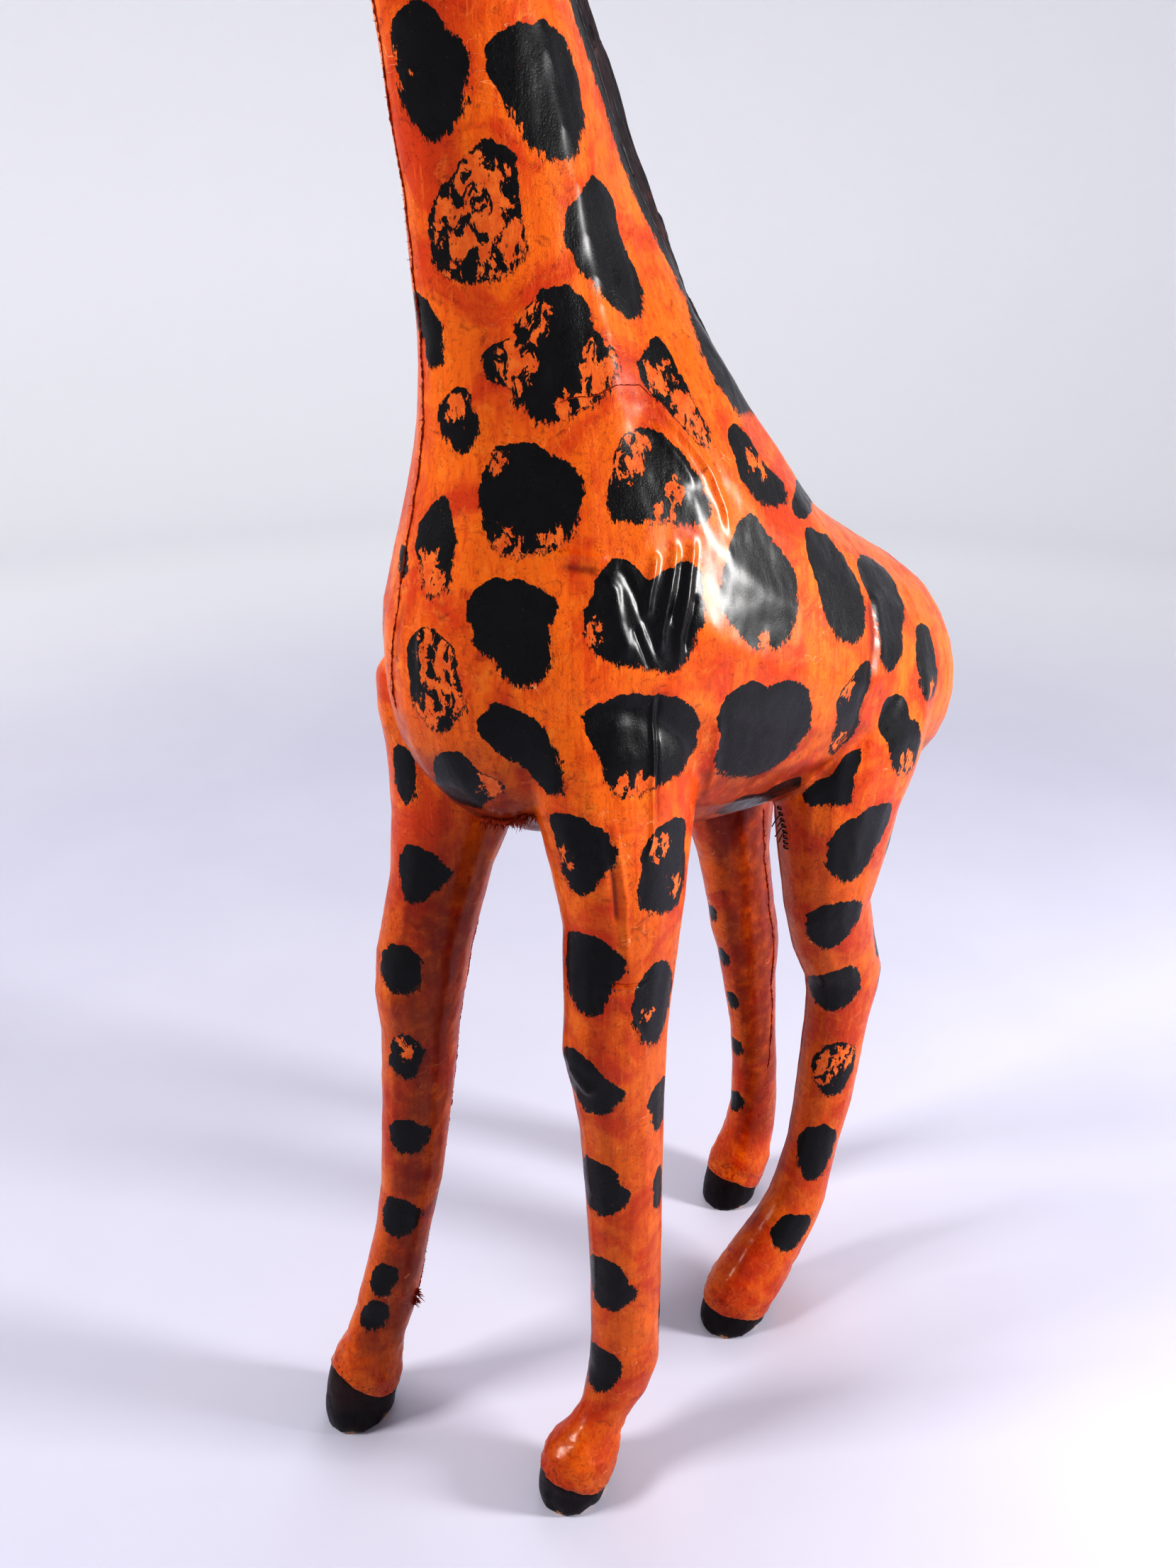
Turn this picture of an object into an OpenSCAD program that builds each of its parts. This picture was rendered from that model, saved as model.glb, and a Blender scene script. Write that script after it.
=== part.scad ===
// Walking giraffe figure: carved wooden cores, dowelled together, wrapped in thin glued leather.
// Millimetres. It faces -Y, its left side is +X, +Z is up and the hooves stand on z = 0.
// The origin is under the middle of the figure's bounding box.

/* [Figure] */
// Height from the soles to the tips of the horns
height = 942; // [600:2:1200]

/* [Leather] */
// Thickness of the leather skin
leather = 1.2; // [0.8:0.1:2]

/* [Dowels] */
// Radius of the dowels that join the legs, the neck and the head
dowel_r = 5; // [3:0.5:7]
// Length of each leg dowel
leg_dowel = 44; // [24:2:60]
// Length of the neck dowel
neck_dowel_length = 70; // [40:5:90]
// Length of the head dowel
head_dowel_length = 32; // [20:2:36]
// Radius of the pegs that hold the hooves
peg_r = 3; // [2:0.5:4]
// Length of the pegs that hold the hooves
peg_length = 16; // [10:1:20]

/* [Head] */
// Radius of the glass eyes
eye_r = 5; // [3.5:0.5:6]
// Length of a horn, without its tip
horn_length = 30; // [20:1:34]
// Radius of a horn's black tip
horn_tip_r = 4.8; // [4.5:0.1:6]
// How far the ears turn out from upright, in degrees
ear_spread = 62; // [40:1:75]

/* [Mane] */
// How far the mane stands out from the neck
mane_height = 3.5; // [2:0.5:6]
// Half the width of the mane
mane_half = 7; // [5:0.5:9]

/* [Detail] */
// Facets around the body, the neck and the head
body_sides = 24; // [16:4:32]
// Facets around each leg
leg_sides = 16; // [12:2:24]

/* [Hidden] */

// The stations below are for a figure of this height, and everything is scaled from it.
design_height = 942;
k = height / design_height;
skin = leather / k;
// Moves the middle of the bounding box over the origin.
centre_y = -19.25;

hide_colour = [0.80, 0.38, 0.14];
wood_colour = [0.80, 0.66, 0.46];
dowel_colour = [0.87, 0.76, 0.58];
hoof_colour = [0.06, 0.05, 0.05];
mane_colour = [0.16, 0.11, 0.09];
glass_colour = [0.10, 0.06, 0.03];

// A station is a ring through a front point and a back point of the profile, as an ellipse:
// [front y, front z, back y, back z, centre x, half-width across].

// Body, from the rump forward to the base of the neck.
body_line = [
    [249, 382, 250, 402, 0, 9],
    [243, 361, 245, 434, 0, 28],
    [229, 351, 233, 462, 0, 45],
    [205, 350, 209, 485, 0, 57],
    [166, 356, 170, 505, 0, 67],
    [125, 362, 130, 526, 0, 73],
    [80, 367, 106, 541, 0, 76],
    [35, 371, 90, 557, 0, 77],
    [-10, 378, 77, 573, 0, 77],
    [-50, 392, 66, 586, 0, 76],
    [-85, 408, 56, 598, 0, 74],
    [-110, 436, 48, 609, 0, 70],
    [-121, 470, 40, 619, 0, 64],
    [-121, 505, 31, 630, 0, 56]
];
// Neck, from its base up to the skull. Its last number says how far the back of the ring
// is drawn in to a ridge, from 0 to 1.
neck_line = [
    [-121, 505, 31, 630, 0, 56, 0],
    [-112, 535, 25, 648, 0, 50, 0.45],
    [-103, 568, 15, 670, 0, 43, 0.85],
    [-99, 600, 5, 688, 0, 38, 1],
    [-100, 632, -3, 704, 0, 35, 1],
    [-103, 668, -11, 720, 0, 32, 1],
    [-108, 704, -18, 732, 0, 30, 1],
    [-113, 742, -30, 753, 0, 28, 1],
    [-120, 780, -44, 782, 0, 26, 1],
    [-127, 815, -58, 812, 0, 25, 0.9],
    [-135, 848, -75, 842, 0, 24, 0.8],
    [-142, 872, -90, 864, 0, 23, 0.6]
];
// Head, from the back of the skull to the muzzle, jaw point first.
head_line = [
    [-90, 872, -88, 888, 0, 9],
    [-98, 858, -92, 905, 0, 20],
    [-115, 853, -106, 915, 0, 25.5],
    [-135, 850, -125, 914, 0, 27],
    [-152, 847, -143, 905, 0, 25.5],
    [-167, 843, -160, 893, 0, 22],
    [-181, 838, -175, 881, 0, 19],
    [-194, 832, -189, 870, 0, 17.5],
    [-206, 826, -202, 860, 0, 17.5],
    [-215, 824, -212, 851, 0, 15.5],
    [-221, 829, -220, 841, 0, 8]
];

// Each leg, from the sole up to the dowelled joint. The first rings are the hoof.
front_left_line = [
    [-103, 0, -61, 0, 62, 18],
    [-103, 10, -60, 7, 62, 18.5],
    [-101, 26, -57, 14, 62, 18.5],
    [-95, 35, -53, 22, 61.5, 17.5],
    [-82, 43, -50, 29, 61, 13.5],
    [-71, 52, -42, 38, 60.5, 13],
    [-67, 62, -27, 52, 60, 16],
    [-64, 76, -20, 70, 60, 17.5],
    [-62, 94, -19, 92, 59, 17],
    [-61, 148, -18, 148, 57, 17.5],
    [-63, 202, -17, 202, 55, 18],
    [-65, 240, -16, 240, 53.5, 18.5],
    [-69, 268, -15, 268, 52.5, 20],
    [-74, 292, -14, 292, 51.5, 22],
    [-72, 314, -12, 314, 51, 22.5],
    [-70, 360, -5, 360, 49, 25]
];
front_right_line = [
    [-169, 0, -127, 0, -62, 18],
    [-170, 10, -126, 7, -62, 18.5],
    [-167, 30, -123, 14, -61.5, 18.5],
    [-164, 42, -121, 26, -61, 18],
    [-156, 54, -119, 40, -60.5, 16],
    [-150, 66, -115, 54, -60, 15],
    [-144, 78, -108, 68, -60, 15],
    [-141, 90, -104, 82, -59, 15],
    [-134, 110, -99, 106, -58, 15],
    [-127, 134, -93, 132, -57, 15],
    [-122, 162, -85, 160, -56, 16],
    [-118, 215, -76, 215, -54, 17],
    [-116, 245, -72, 245, -53, 18],
    [-115, 268, -70, 268, -52, 19],
    [-117, 294, -65, 292, -51, 21],
    [-114, 317, -60, 315, -51, 22],
    [-103, 360, -46, 360, -49, 24]
];
hind_left_line = [
    [52, 0, 100, 0, 39, 19],
    [53, 10, 103, 7, 39, 19.5],
    [57, 28, 109, 12, 39, 20],
    [65, 40, 117, 18, 39.5, 20],
    [80, 54, 129, 30, 40, 19],
    [97, 66, 147, 48, 40, 17.5],
    [110, 78, 156, 64, 40, 16.5],
    [117, 92, 158, 84, 40, 16],
    [124, 116, 163, 114, 41, 15.5],
    [128, 145, 171, 145, 41, 17],
    [130, 206, 177, 206, 42, 18],
    [129, 228, 182, 226, 42.5, 19],
    [125, 244, 182, 242, 43, 20],
    [111, 270, 171, 268, 43, 21],
    [100, 301, 159, 301, 44, 22],
    [93, 336, 168, 336, 44, 27],
    [88, 360, 173, 360, 44, 29]
];
hind_right_line = [
    [134, 0, 176, 0, -39, 18],
    [135, 10, 178, 7, -39, 18.5],
    [139, 28, 184, 14, -39, 18.5],
    [147, 44, 191, 30, -39.5, 18],
    [155, 60, 196, 50, -40, 16.5],
    [159, 78, 197, 74, -40, 15],
    [159, 112, 195, 110, -41, 14.5],
    [154, 149, 190, 149, -41, 14.5],
    [145, 190, 187, 190, -42, 16],
    [138, 218, 187, 217, -42, 18],
    [132, 236, 184, 234, -43, 19],
    [129, 252, 179, 251, -43, 19],
    [118, 296, 170, 296, -44, 21],
    [100, 340, 170, 340, -44, 26],
    [92, 360, 172, 360, -44, 28]
];
hoof_rings = 4;

// The shoulders and the haunches go on from the top ring of their legs.
function top_of(line) = line[len(line) - 1];
front_left_shoulder = [
    top_of(front_left_line),
    [-75, 392, 0, 392, 47, 27],
    [-84, 430, 6, 430, 45, 28],
    [-88, 470, 6, 470, 42, 26],
    [-74, 502, -6, 502, 34, 18]
];
front_right_shoulder = [
    top_of(front_right_line),
    [-100, 395, -28, 395, -48, 28],
    [-101, 430, -12, 430, -48, 29],
    [-104, 470, -4, 470, -47, 28],
    [-82, 502, -12, 502, -34, 18]
];
hind_left_haunch = [
    top_of(hind_left_line),
    [84, 390, 190, 390, 43, 32],
    [82, 430, 202, 430, 40, 33],
    [96, 465, 188, 465, 34, 29],
    [120, 486, 168, 486, 28, 16]
];
hind_right_haunch = [
    top_of(hind_right_line),
    [86, 390, 190, 390, -43, 32],
    [82, 430, 202, 430, -40, 33],
    [96, 465, 188, 465, -34, 29],
    [120, 486, 168, 486, -28, 16]
];
leg_lines = [front_left_line, front_right_line, hind_left_line, hind_right_line];
upper_legs = [front_left_shoulder, front_right_shoulder, hind_left_haunch, hind_right_haunch];

// A short tail that lies close to the rump, and the tuft below it.
tail_line = [
    [247, 410, 254, 410, 0, 3.5],
    [251, 398, 257, 404, -1, 3.5],
    [253, 384, 259.5, 385, -3, 3.2],
    [249.5, 368, 256, 367, -6, 3]
];
tuft_line = [
    [249.5, 368, 256, 367, -6, 3],
    [248, 360, 257.5, 358, -7, 5],
    [243, 346, 253, 344, -9, 5],
    [239, 335, 243, 334, -11, 1.5]
];

// An ear as it stands upright, from its root to its tip. It is thin from front to back.
ear_line = [
    [-2.5, -3, 2.5, -3, 0, 4],
    [-2.5, 3, 2.5, 3, 0, 6],
    [-1.8, 12, 1.8, 12, 0, 9],
    [-1.5, 22, 1.5, 22, 0, 8.5],
    [-1.2, 32, 1.2, 32, 0, 5],
    [-1, 39, 1, 39, 0, 1.5]
];
ear_place = [19, -100, 903];
ear_lean = 12;
ear_turn = 25;

horn_place = [11, -116, 908.3];
horn_lean = -12;
horn_spread = 10;
horn_root_r = 4.6;
horn_top_r = 3.6;
eye_place = [22.5, -148, 884];

// One step of a smooth curve through the stations.
function blend(a, b, c, d, t) =
    (2 * b + (c - a) * t + (2 * a - 5 * b + 4 * c - d) * t * t
        + (3 * b - 3 * c + d - a) * t * t * t) / 2;
function smooth(line, steps) =
    let (last = len(line) - 1)
    [
        for (i = [0 : last - 1], s = [0 : steps - 1])
            blend(line[max(i - 1, 0)], line[i], line[i + 1], line[min(i + 2, last)], s / steps),
        line[last]
    ];
function part_of(line, first, last) = [for (i = [first : last]) line[i]];
function from_ring(line, first) = part_of(line, first, len(line) - 1);
function middle_of(s) = [s[4], (s[0] + s[2]) / 2, (s[1] + s[3]) / 2];
function half_of(s) = norm([s[2] - s[0], s[3] - s[1]]) / 2;
// How far a ring leans forward, as a turn about X.
function lean_of(s) = atan2(s[3] - s[1], s[2] - s[0]);

// How much narrower than an ellipse a ring is towards its back.
function narrowing(s, a) =
    len(s) < 7 ? 1 : 1 - 0.6 * s[6] * pow(max(cos(a), 0), 1.2);

// Points of one ring, set in from the skin's outside by a given depth.
function ring(s, sides, inset) =
    let (keep = 1 - inset / half_of(s))
    [
        for (n = [0 : sides - 1])
            let (a = 360 * n / sides)
            [
                s[4] + (s[5] - inset) * sin(a) * narrowing(s, a),
                (s[0] + s[2]) / 2 + keep * (s[2] - s[0]) / 2 * cos(a),
                (s[1] + s[3]) / 2 + keep * (s[3] - s[1]) / 2 * cos(a)
            ]
    ];
function wall(rows, sides, first, inward) =
    [
        for (i = [0 : rows - 2], n = [0 : sides - 1])
            let (a = first + i * sides + n, b = first + i * sides + (n + 1) % sides)
            each inward
                ? [[a, a + sides, b], [b, a + sides, b + sides]]
                : [[a, b, a + sides], [b, b + sides, a + sides]]
    ];

// A solid through all the rings of a line.
module loft(line, sides, inset = 0) {
    rows = len(line);
    polyhedron(
        points = [for (s = line) each ring(s, sides, inset)],
        faces = concat(
            wall(rows, sides, 0, false),
            [[for (n = [sides - 1 : -1 : 0]) n]],
            [[for (n = [0 : sides - 1]) (rows - 1) * sides + n]]
        )
    );
}

// A skin of the leather's thickness along a line, open at both ends.
module sleeve(line, sides) {
    rows = len(line);
    start = rows * sides;
    end = (rows - 1) * sides;
    polyhedron(
        points = concat(
            [for (s = line) each ring(s, sides, 0)],
            [for (s = line) each ring(s, sides, skin)]
        ),
        faces = concat(
            wall(rows, sides, 0, false),
            wall(rows, sides, start, true),
            [
                for (n = [0 : sides - 1])
                    let (m = (n + 1) % sides)
                    each [
                        [n, start + n, m], [m, start + n, start + m],
                        [end + n, end + m, start + end + n],
                        [end + m, start + end + m, start + end + n]
                    ]
            ]
        )
    );
}

module placed() {
    scale(k)
        translate([0, centre_y, 0])
            children();
}

// A dowel's solid, half on each side of the ring that it crosses.
module dowel(s, r, length) {
    translate(middle_of(s))
        rotate([lean_of(s), 0, 0])
            cylinder(r = r, h = length, center = true, $fn = 32);
}

module all_leg_dowels() {
    for (line = leg_lines)
        dowel(top_of(line), dowel_r, leg_dowel);
}

module all_hoof_pegs() {
    for (line = leg_lines)
        dowel(line[hoof_rings - 1], peg_r, peg_length);
}

// The trunk with its shoulders and haunches. The leather closes over the rump,
// so the inset wood stops one ring short of it.
module trunk(inset) {
    line = smooth(body_line, 2);
    loft(from_ring(line, inset > 0 ? 1 : 0), body_sides, inset);
    for (line = upper_legs)
        loft(smooth(line, 2), leg_sides, inset);
}

module neck_solid(inset) {
    loft(smooth(neck_line, 2), body_sides, inset);
}

// The leather closes over the skull and the nose in the same way.
module head_solid(inset) {
    line = smooth(head_line, 2);
    ends = inset > 0 ? 1 : 0;
    loft(part_of(line, ends, len(line) - 1 - ends), body_sides, inset);
}

module mirrored_places(place) {
    for (side = [-1, 1])
        translate([side * place[0], place[1], place[2]])
            children();
}

module eyes() {
    mirrored_places(eye_place)
        sphere(r = eye_r, $fn = 32);
}

module torso_core() {
    color(wood_colour)
        placed()
            difference() {
                trunk(skin);
                all_leg_dowels();
                dowel(neck_line[0], dowel_r, neck_dowel_length);
            }
}

module neck_core() {
    color(wood_colour)
        placed()
            difference() {
                neck_solid(skin);
                dowel(neck_line[0], dowel_r, neck_dowel_length);
                dowel(top_of(neck_line), dowel_r, head_dowel_length);
            }
}

module head_core() {
    color(wood_colour)
        placed()
            difference() {
                head_solid(skin);
                neck_solid(0);
                dowel(top_of(neck_line), dowel_r, head_dowel_length);
                eyes();
            }
}

module leg_core(line) {
    color(wood_colour)
        placed()
            difference() {
                loft(from_ring(line, hoof_rings - 1), leg_sides, skin);
                dowel(top_of(line), dowel_r, leg_dowel);
                dowel(line[hoof_rings - 1], peg_r, peg_length);
            }
}

module leg_hide(line) {
    color(hide_colour)
        placed()
            sleeve(from_ring(line, hoof_rings - 1), leg_sides);
}

// The hoof is cut flat under its sole.
module hoof(line) {
    sole = line[0];
    below = 4;
    reach = 300;
    color(hoof_colour)
        placed()
            difference() {
                loft(
                    concat(
                        [[sole[0], -below, sole[2], -below, sole[4], sole[5]]],
                        part_of(line, 0, hoof_rings - 1)
                    ),
                    leg_sides
                );
                translate([-reach, -reach, -2 * below])
                    cube([2 * reach, 2 * reach, 2 * below]);
                dowel(line[hoof_rings - 1], peg_r, peg_length);
            }
}

module leg_dowels() {
    color(dowel_colour)
        placed()
            all_leg_dowels();
}

module hoof_pegs() {
    color(dowel_colour)
        placed()
            all_hoof_pegs();
}

module neck_dowel() {
    color(dowel_colour)
        placed()
            dowel(neck_line[0], dowel_r, neck_dowel_length);
}

module head_dowel() {
    color(dowel_colour)
        placed()
            dowel(top_of(neck_line), dowel_r, head_dowel_length);
}

module torso_hide() {
    color(hide_colour)
        placed()
            difference() {
                trunk(0);
                trunk(skin);
            }
}

module neck_hide() {
    color(hide_colour)
        placed()
            sleeve(smooth(neck_line, 2), body_sides);
}

module head_hide() {
    color(hide_colour)
        placed()
            difference() {
                head_solid(0);
                head_solid(skin);
                neck_solid(0);
                eyes();
            }
}

module ear(side) {
    color(hide_colour)
        placed()
            difference() {
                translate([side * ear_place[0], ear_place[1], ear_place[2]])
                    rotate([ear_lean, side * ear_spread, 0])
                        rotate([0, 0, side * ear_turn])
                            loft(smooth(ear_line, 2), leg_sides);
                head_solid(0);
            }
}

module horn_frame(side) {
    translate([side * horn_place[0], horn_place[1], horn_place[2]])
        rotate([horn_lean, side * horn_spread, 0])
            children();
}

module horn(side) {
    color(hide_colour)
        placed()
            difference() {
                horn_frame(side)
                    cylinder(r1 = horn_root_r, r2 = horn_top_r, h = horn_length, $fn = 32);
                head_solid(0);
                horn_frame(side)
                    translate([0, 0, horn_length])
                        sphere(r = horn_tip_r, $fn = 32);
            }
}

module horn_tips() {
    color(hoof_colour)
        placed()
            for (side = [-1, 1])
                horn_frame(side)
                    translate([0, 0, horn_length])
                        sphere(r = horn_tip_r, $fn = 32);
}

module eye(side) {
    color(glass_colour)
        placed()
            translate([side * eye_place[0], eye_place[1], eye_place[2]])
                sphere(r = eye_r, $fn = 32);
}

// A strip over the back line, set into the skin a little and then cut flush with it.
mane_sink = 3;
function mane_station(s) =
    let (out = [s[2] - s[0], s[3] - s[1]] / (2 * half_of(s)))
    [
        s[2] - mane_sink * out[0], s[3] - mane_sink * out[1],
        s[2] + mane_height * out[0], s[3] + mane_height * out[1],
        0, mane_half
    ];
mane_first = 7;
function mane_line() = concat(
    [for (s = from_ring(body_line, mane_first)) mane_station(s)],
    [for (i = [1 : len(neck_line) - 2]) mane_station(neck_line[i])]
);

module mane() {
    color(mane_colour)
        placed()
            difference() {
                loft(smooth(mane_line(), 2), 12);
                loft(smooth(body_line, 2), body_sides);
                neck_solid(0);
                head_solid(0);
            }
}

module tail() {
    color(hide_colour)
        placed()
            difference() {
                loft(smooth(tail_line, 2), 12);
                trunk(0);
            }
}

module tail_tuft() {
    color(mane_colour)
        placed()
            difference() {
                loft(smooth(tuft_line, 2), 12);
                trunk(0);
            }
}

module front_left_leg_core() leg_core(front_left_line);
module front_right_leg_core() leg_core(front_right_line);
module hind_left_leg_core() leg_core(hind_left_line);
module hind_right_leg_core() leg_core(hind_right_line);
module front_left_leg_hide() leg_hide(front_left_line);
module front_right_leg_hide() leg_hide(front_right_line);
module hind_left_leg_hide() leg_hide(hind_left_line);
module hind_right_leg_hide() leg_hide(hind_right_line);
module front_left_hoof() hoof(front_left_line);
module front_right_hoof() hoof(front_right_line);
module hind_left_hoof() hoof(hind_left_line);
module hind_right_hoof() hoof(hind_right_line);
module left_ear() ear(1);
module right_ear() ear(-1);
module left_horn() horn(1);
module right_horn() horn(-1);
module left_eye() eye(1);
module right_eye() eye(-1);

torso_core();
neck_core();
head_core();
front_left_leg_core();
front_right_leg_core();
hind_left_leg_core();
hind_right_leg_core();
front_left_hoof();
front_right_hoof();
hind_left_hoof();
hind_right_hoof();
leg_dowels();
hoof_pegs();
neck_dowel();
head_dowel();
torso_hide();
neck_hide();
head_hide();
front_left_leg_hide();
front_right_leg_hide();
hind_left_leg_hide();
hind_right_leg_hide();
left_ear();
right_ear();
left_horn();
right_horn();
horn_tips();
left_eye();
right_eye();
mane();
tail();
tail_tuft();
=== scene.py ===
"""Looks of a walking giraffe figure of varnished, spotted leather over carved wood.

Everything is in the frame's own space, in metres: the figure faces -Y and its left side is +X.
Shapes are worked out in millimetres and scaled when a piece is made.
"""

import math

import bmesh
import bpy
import numpy as np
from mathutils import Matrix, Vector, noise
from mathutils.bvhtree import BVHTree


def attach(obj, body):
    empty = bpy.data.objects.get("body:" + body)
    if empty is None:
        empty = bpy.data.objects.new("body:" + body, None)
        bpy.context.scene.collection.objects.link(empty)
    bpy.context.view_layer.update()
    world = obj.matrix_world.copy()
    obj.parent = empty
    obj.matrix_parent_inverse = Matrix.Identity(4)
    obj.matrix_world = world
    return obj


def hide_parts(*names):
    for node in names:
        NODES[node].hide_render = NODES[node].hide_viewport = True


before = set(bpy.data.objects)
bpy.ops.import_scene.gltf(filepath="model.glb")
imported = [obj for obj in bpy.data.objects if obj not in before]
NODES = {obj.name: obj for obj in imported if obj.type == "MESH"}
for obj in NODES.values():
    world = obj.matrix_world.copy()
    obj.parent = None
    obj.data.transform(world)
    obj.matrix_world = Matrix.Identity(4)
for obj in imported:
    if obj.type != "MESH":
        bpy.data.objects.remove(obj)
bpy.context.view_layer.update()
MM = 0.001
LEATHER = 1.2  # thickness of the skin, in millimetres

LEGS = ("front_left", "front_right", "hind_left", "hind_right")
BODY_PARTS = ("torso", "neck", "head")
SIDES = {1: "left", -1: "right"}
FAR = 99.0  # the distance that stands for nowhere near
UNWORN = -12.0  # so far outside a worn place that nothing shows


# ---------------------------------------------------------------- meshes as arrays


def mesh_arrays(mesh):
    """A mesh's points in millimetres and its triangles."""
    mesh.calc_loop_triangles()
    co = np.empty(len(mesh.vertices) * 3)
    mesh.vertices.foreach_get("co", co)
    tri = np.empty(len(mesh.loop_triangles) * 3, int)
    mesh.loop_triangles.foreach_get("vertices", tri)
    return co.reshape(-1, 3) / MM, tri.reshape(-1, 3)


def joined(parts):
    """Several surfaces as one list of points and one of faces."""
    co, faces, count = [], [], 0
    for points, rings in parts:
        co.append(points)
        faces += [[n + count for n in ring] for ring in rings]
        count += len(points)
    return np.vstack(co), faces


def voxel_union(names, voxel):
    """One closed surface round some CAD nodes, as points and triangles in millimetres."""
    solids = [mesh_arrays(NODES[name].data) for name in names]
    points, triangles = joined([(co, tri.tolist()) for co, tri in solids])
    mesh = bpy.data.meshes.new("union")
    mesh.from_pydata((points * MM).tolist(), [], triangles)
    thing = bpy.data.objects.new("union", mesh)
    bpy.context.scene.collection.objects.link(thing)
    remesh = thing.modifiers.new("remesh", "REMESH")
    remesh.mode = "VOXEL"
    remesh.voxel_size = voxel * MM
    arrays = mesh_arrays(thing.evaluated_get(bpy.context.evaluated_depsgraph_get()).to_mesh())
    bpy.data.objects.remove(thing)
    return arrays


def directed_edges(tri):
    return np.vstack([tri[:, [0, 1]], tri[:, [1, 2]], tri[:, [2, 0]]])


def edges_of(tri):
    """Every edge once, as pairs of point numbers."""
    return np.unique(np.sort(directed_edges(tri), axis=1), axis=0)


def rim_of(tri):
    """The edges that only one triangle has."""
    directed = directed_edges(tri)
    _, first, times = np.unique(
        np.sort(directed, axis=1), axis=0, return_index=True, return_counts=True
    )
    return directed[first[times == 1]]


def unit(v):
    """A vector, or each row of an array, at length 1."""
    return v / np.maximum(np.linalg.norm(v, axis=-1, keepdims=True), 1e-12)


def normals_of(co, tri):
    corner = co[tri]
    face = np.cross(corner[:, 1] - corner[:, 0], corner[:, 2] - corner[:, 0])
    total = np.zeros_like(co)
    for k in range(3):
        for axis in range(3):
            total[:, axis] += np.bincount(tri[:, k], face[:, axis], len(co))
    return unit(total)


def neighbour_mean(values, edges, degree):
    """The mean of each point's neighbours, for a column or columns of values."""
    flat = values.reshape(len(values), -1)
    total = np.empty_like(flat)
    for axis in range(flat.shape[1]):
        total[:, axis] = np.bincount(edges[:, 0], flat[edges[:, 1], axis], len(flat))
        total[:, axis] += np.bincount(edges[:, 1], flat[edges[:, 0], axis], len(flat))
    return (total / degree[:, None]).reshape(values.shape)


def smoothed(co, tri, amount, rounds):
    """Takes out the facets and keeps the volume. amount is 0 to 1 for each point."""
    edges = edges_of(tri)
    degree = np.maximum(np.bincount(edges.ravel(), minlength=len(co)), 1)
    for _ in range(rounds):
        for push in (0.6, -0.61):
            co = co + push * amount[:, None] * (neighbour_mean(co, edges, degree) - co)
    return co


def smoothstep(low, high, x):
    t = np.clip((x - low) / (high - low), 0, 1)
    return t * t * (3 - 2 * t)


def bell(x, width):
    return np.exp(-((x / width) ** 2))


def waves(co, size, stretch=(1, 1, 1), seed=0.0):
    """Smooth noise from -1 to 1 at each point, with lumps of about the given size in mm."""
    scaled = co / (size * np.array(stretch)) + seed
    return np.array([noise.noise(Vector(p)) for p in scaled])


class Skin:
    """A triangle surface in millimetres, with named values at its points."""

    def __init__(self, co, tri, values=None):
        self.co, self.tri = co, tri
        self.values = values or {}

    def bvh(self):
        return BVHTree.FromPolygons(self.co.tolist(), self.tri.tolist())

    def split(self, level):
        """The surface cut along level = 0, as (where it is above, where it is below)."""
        edges = edges_of(self.tri)
        a, b = level[edges[:, 0]], level[edges[:, 1]]
        crossed = np.flatnonzero((a > 0) != (b > 0))
        share = (a[crossed] / (a[crossed] - b[crossed]))[:, None]
        first, second = edges[crossed, 0], edges[crossed, 1]
        co = np.vstack([self.co, self.co[first] * (1 - share) + self.co[second] * share])
        values = {}
        for name, v in self.values.items():
            s = share if v.ndim > 1 else share[:, 0]
            values[name] = np.concatenate([v, v[first] * (1 - s) + v[second] * s])
        new = {}
        for n, (i, j) in enumerate(zip(first.tolist(), second.tolist())):
            new[i, j] = new[j, i] = len(self.co) + n
        above = level > 0
        inside = above[self.tri].sum(axis=1)
        upper, lower = self.tri[inside == 3].tolist(), self.tri[inside == 0].tolist()
        for t in self.tri[(inside == 1) | (inside == 2)].tolist():
            lone = inside_corner(t, above)
            p, q, r = t[lone], t[(lone + 1) % 3], t[(lone + 2) % 3]
            pq, pr = new[p, q], new[p, r]
            tip, rest = (upper, lower) if above[p] else (lower, upper)
            tip.append([p, pq, pr])
            rest += [[pq, q, r], [pq, r, pr]]
        return [Skin(co, np.array(t), values).compact() for t in (upper, lower)]

    def compact(self):
        """The same surface without the points that no triangle uses."""
        used, tri = np.unique(self.tri, return_inverse=True)
        values = {name: v[used] for name, v in self.values.items()}
        return Skin(self.co[used], tri.reshape(-1, 3), values)

    def select(self, keep):
        """The triangles that keep is true for."""
        return Skin(self.co, self.tri[keep], self.values).compact()

    def finer(self, near):
        """Halves the edges between two points that near is true for, for smaller detail there."""
        edges = edges_of(self.tri)
        edges = edges[near[edges[:, 0]] & near[edges[:, 1]]]
        middle = {tuple(e): len(self.co) + n for n, e in enumerate(edges.tolist())}
        co = np.vstack([self.co, self.co[edges].mean(axis=1)])
        values = {k: np.concatenate([v, v[edges].mean(axis=1)]) for k, v in self.values.items()}
        touched = near[self.tri].sum(axis=1) >= 2
        tri = self.tri[~touched].tolist()
        for t in self.tri[touched].tolist():
            tri += halved(t, middle)
        return Skin(co, np.array(tri), values)


def inside_corner(t, above):
    """Which corner of a crossed triangle is alone on its side."""
    flags = [bool(above[i]) for i in t]
    return flags.index(sum(flags) == 1)


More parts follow.
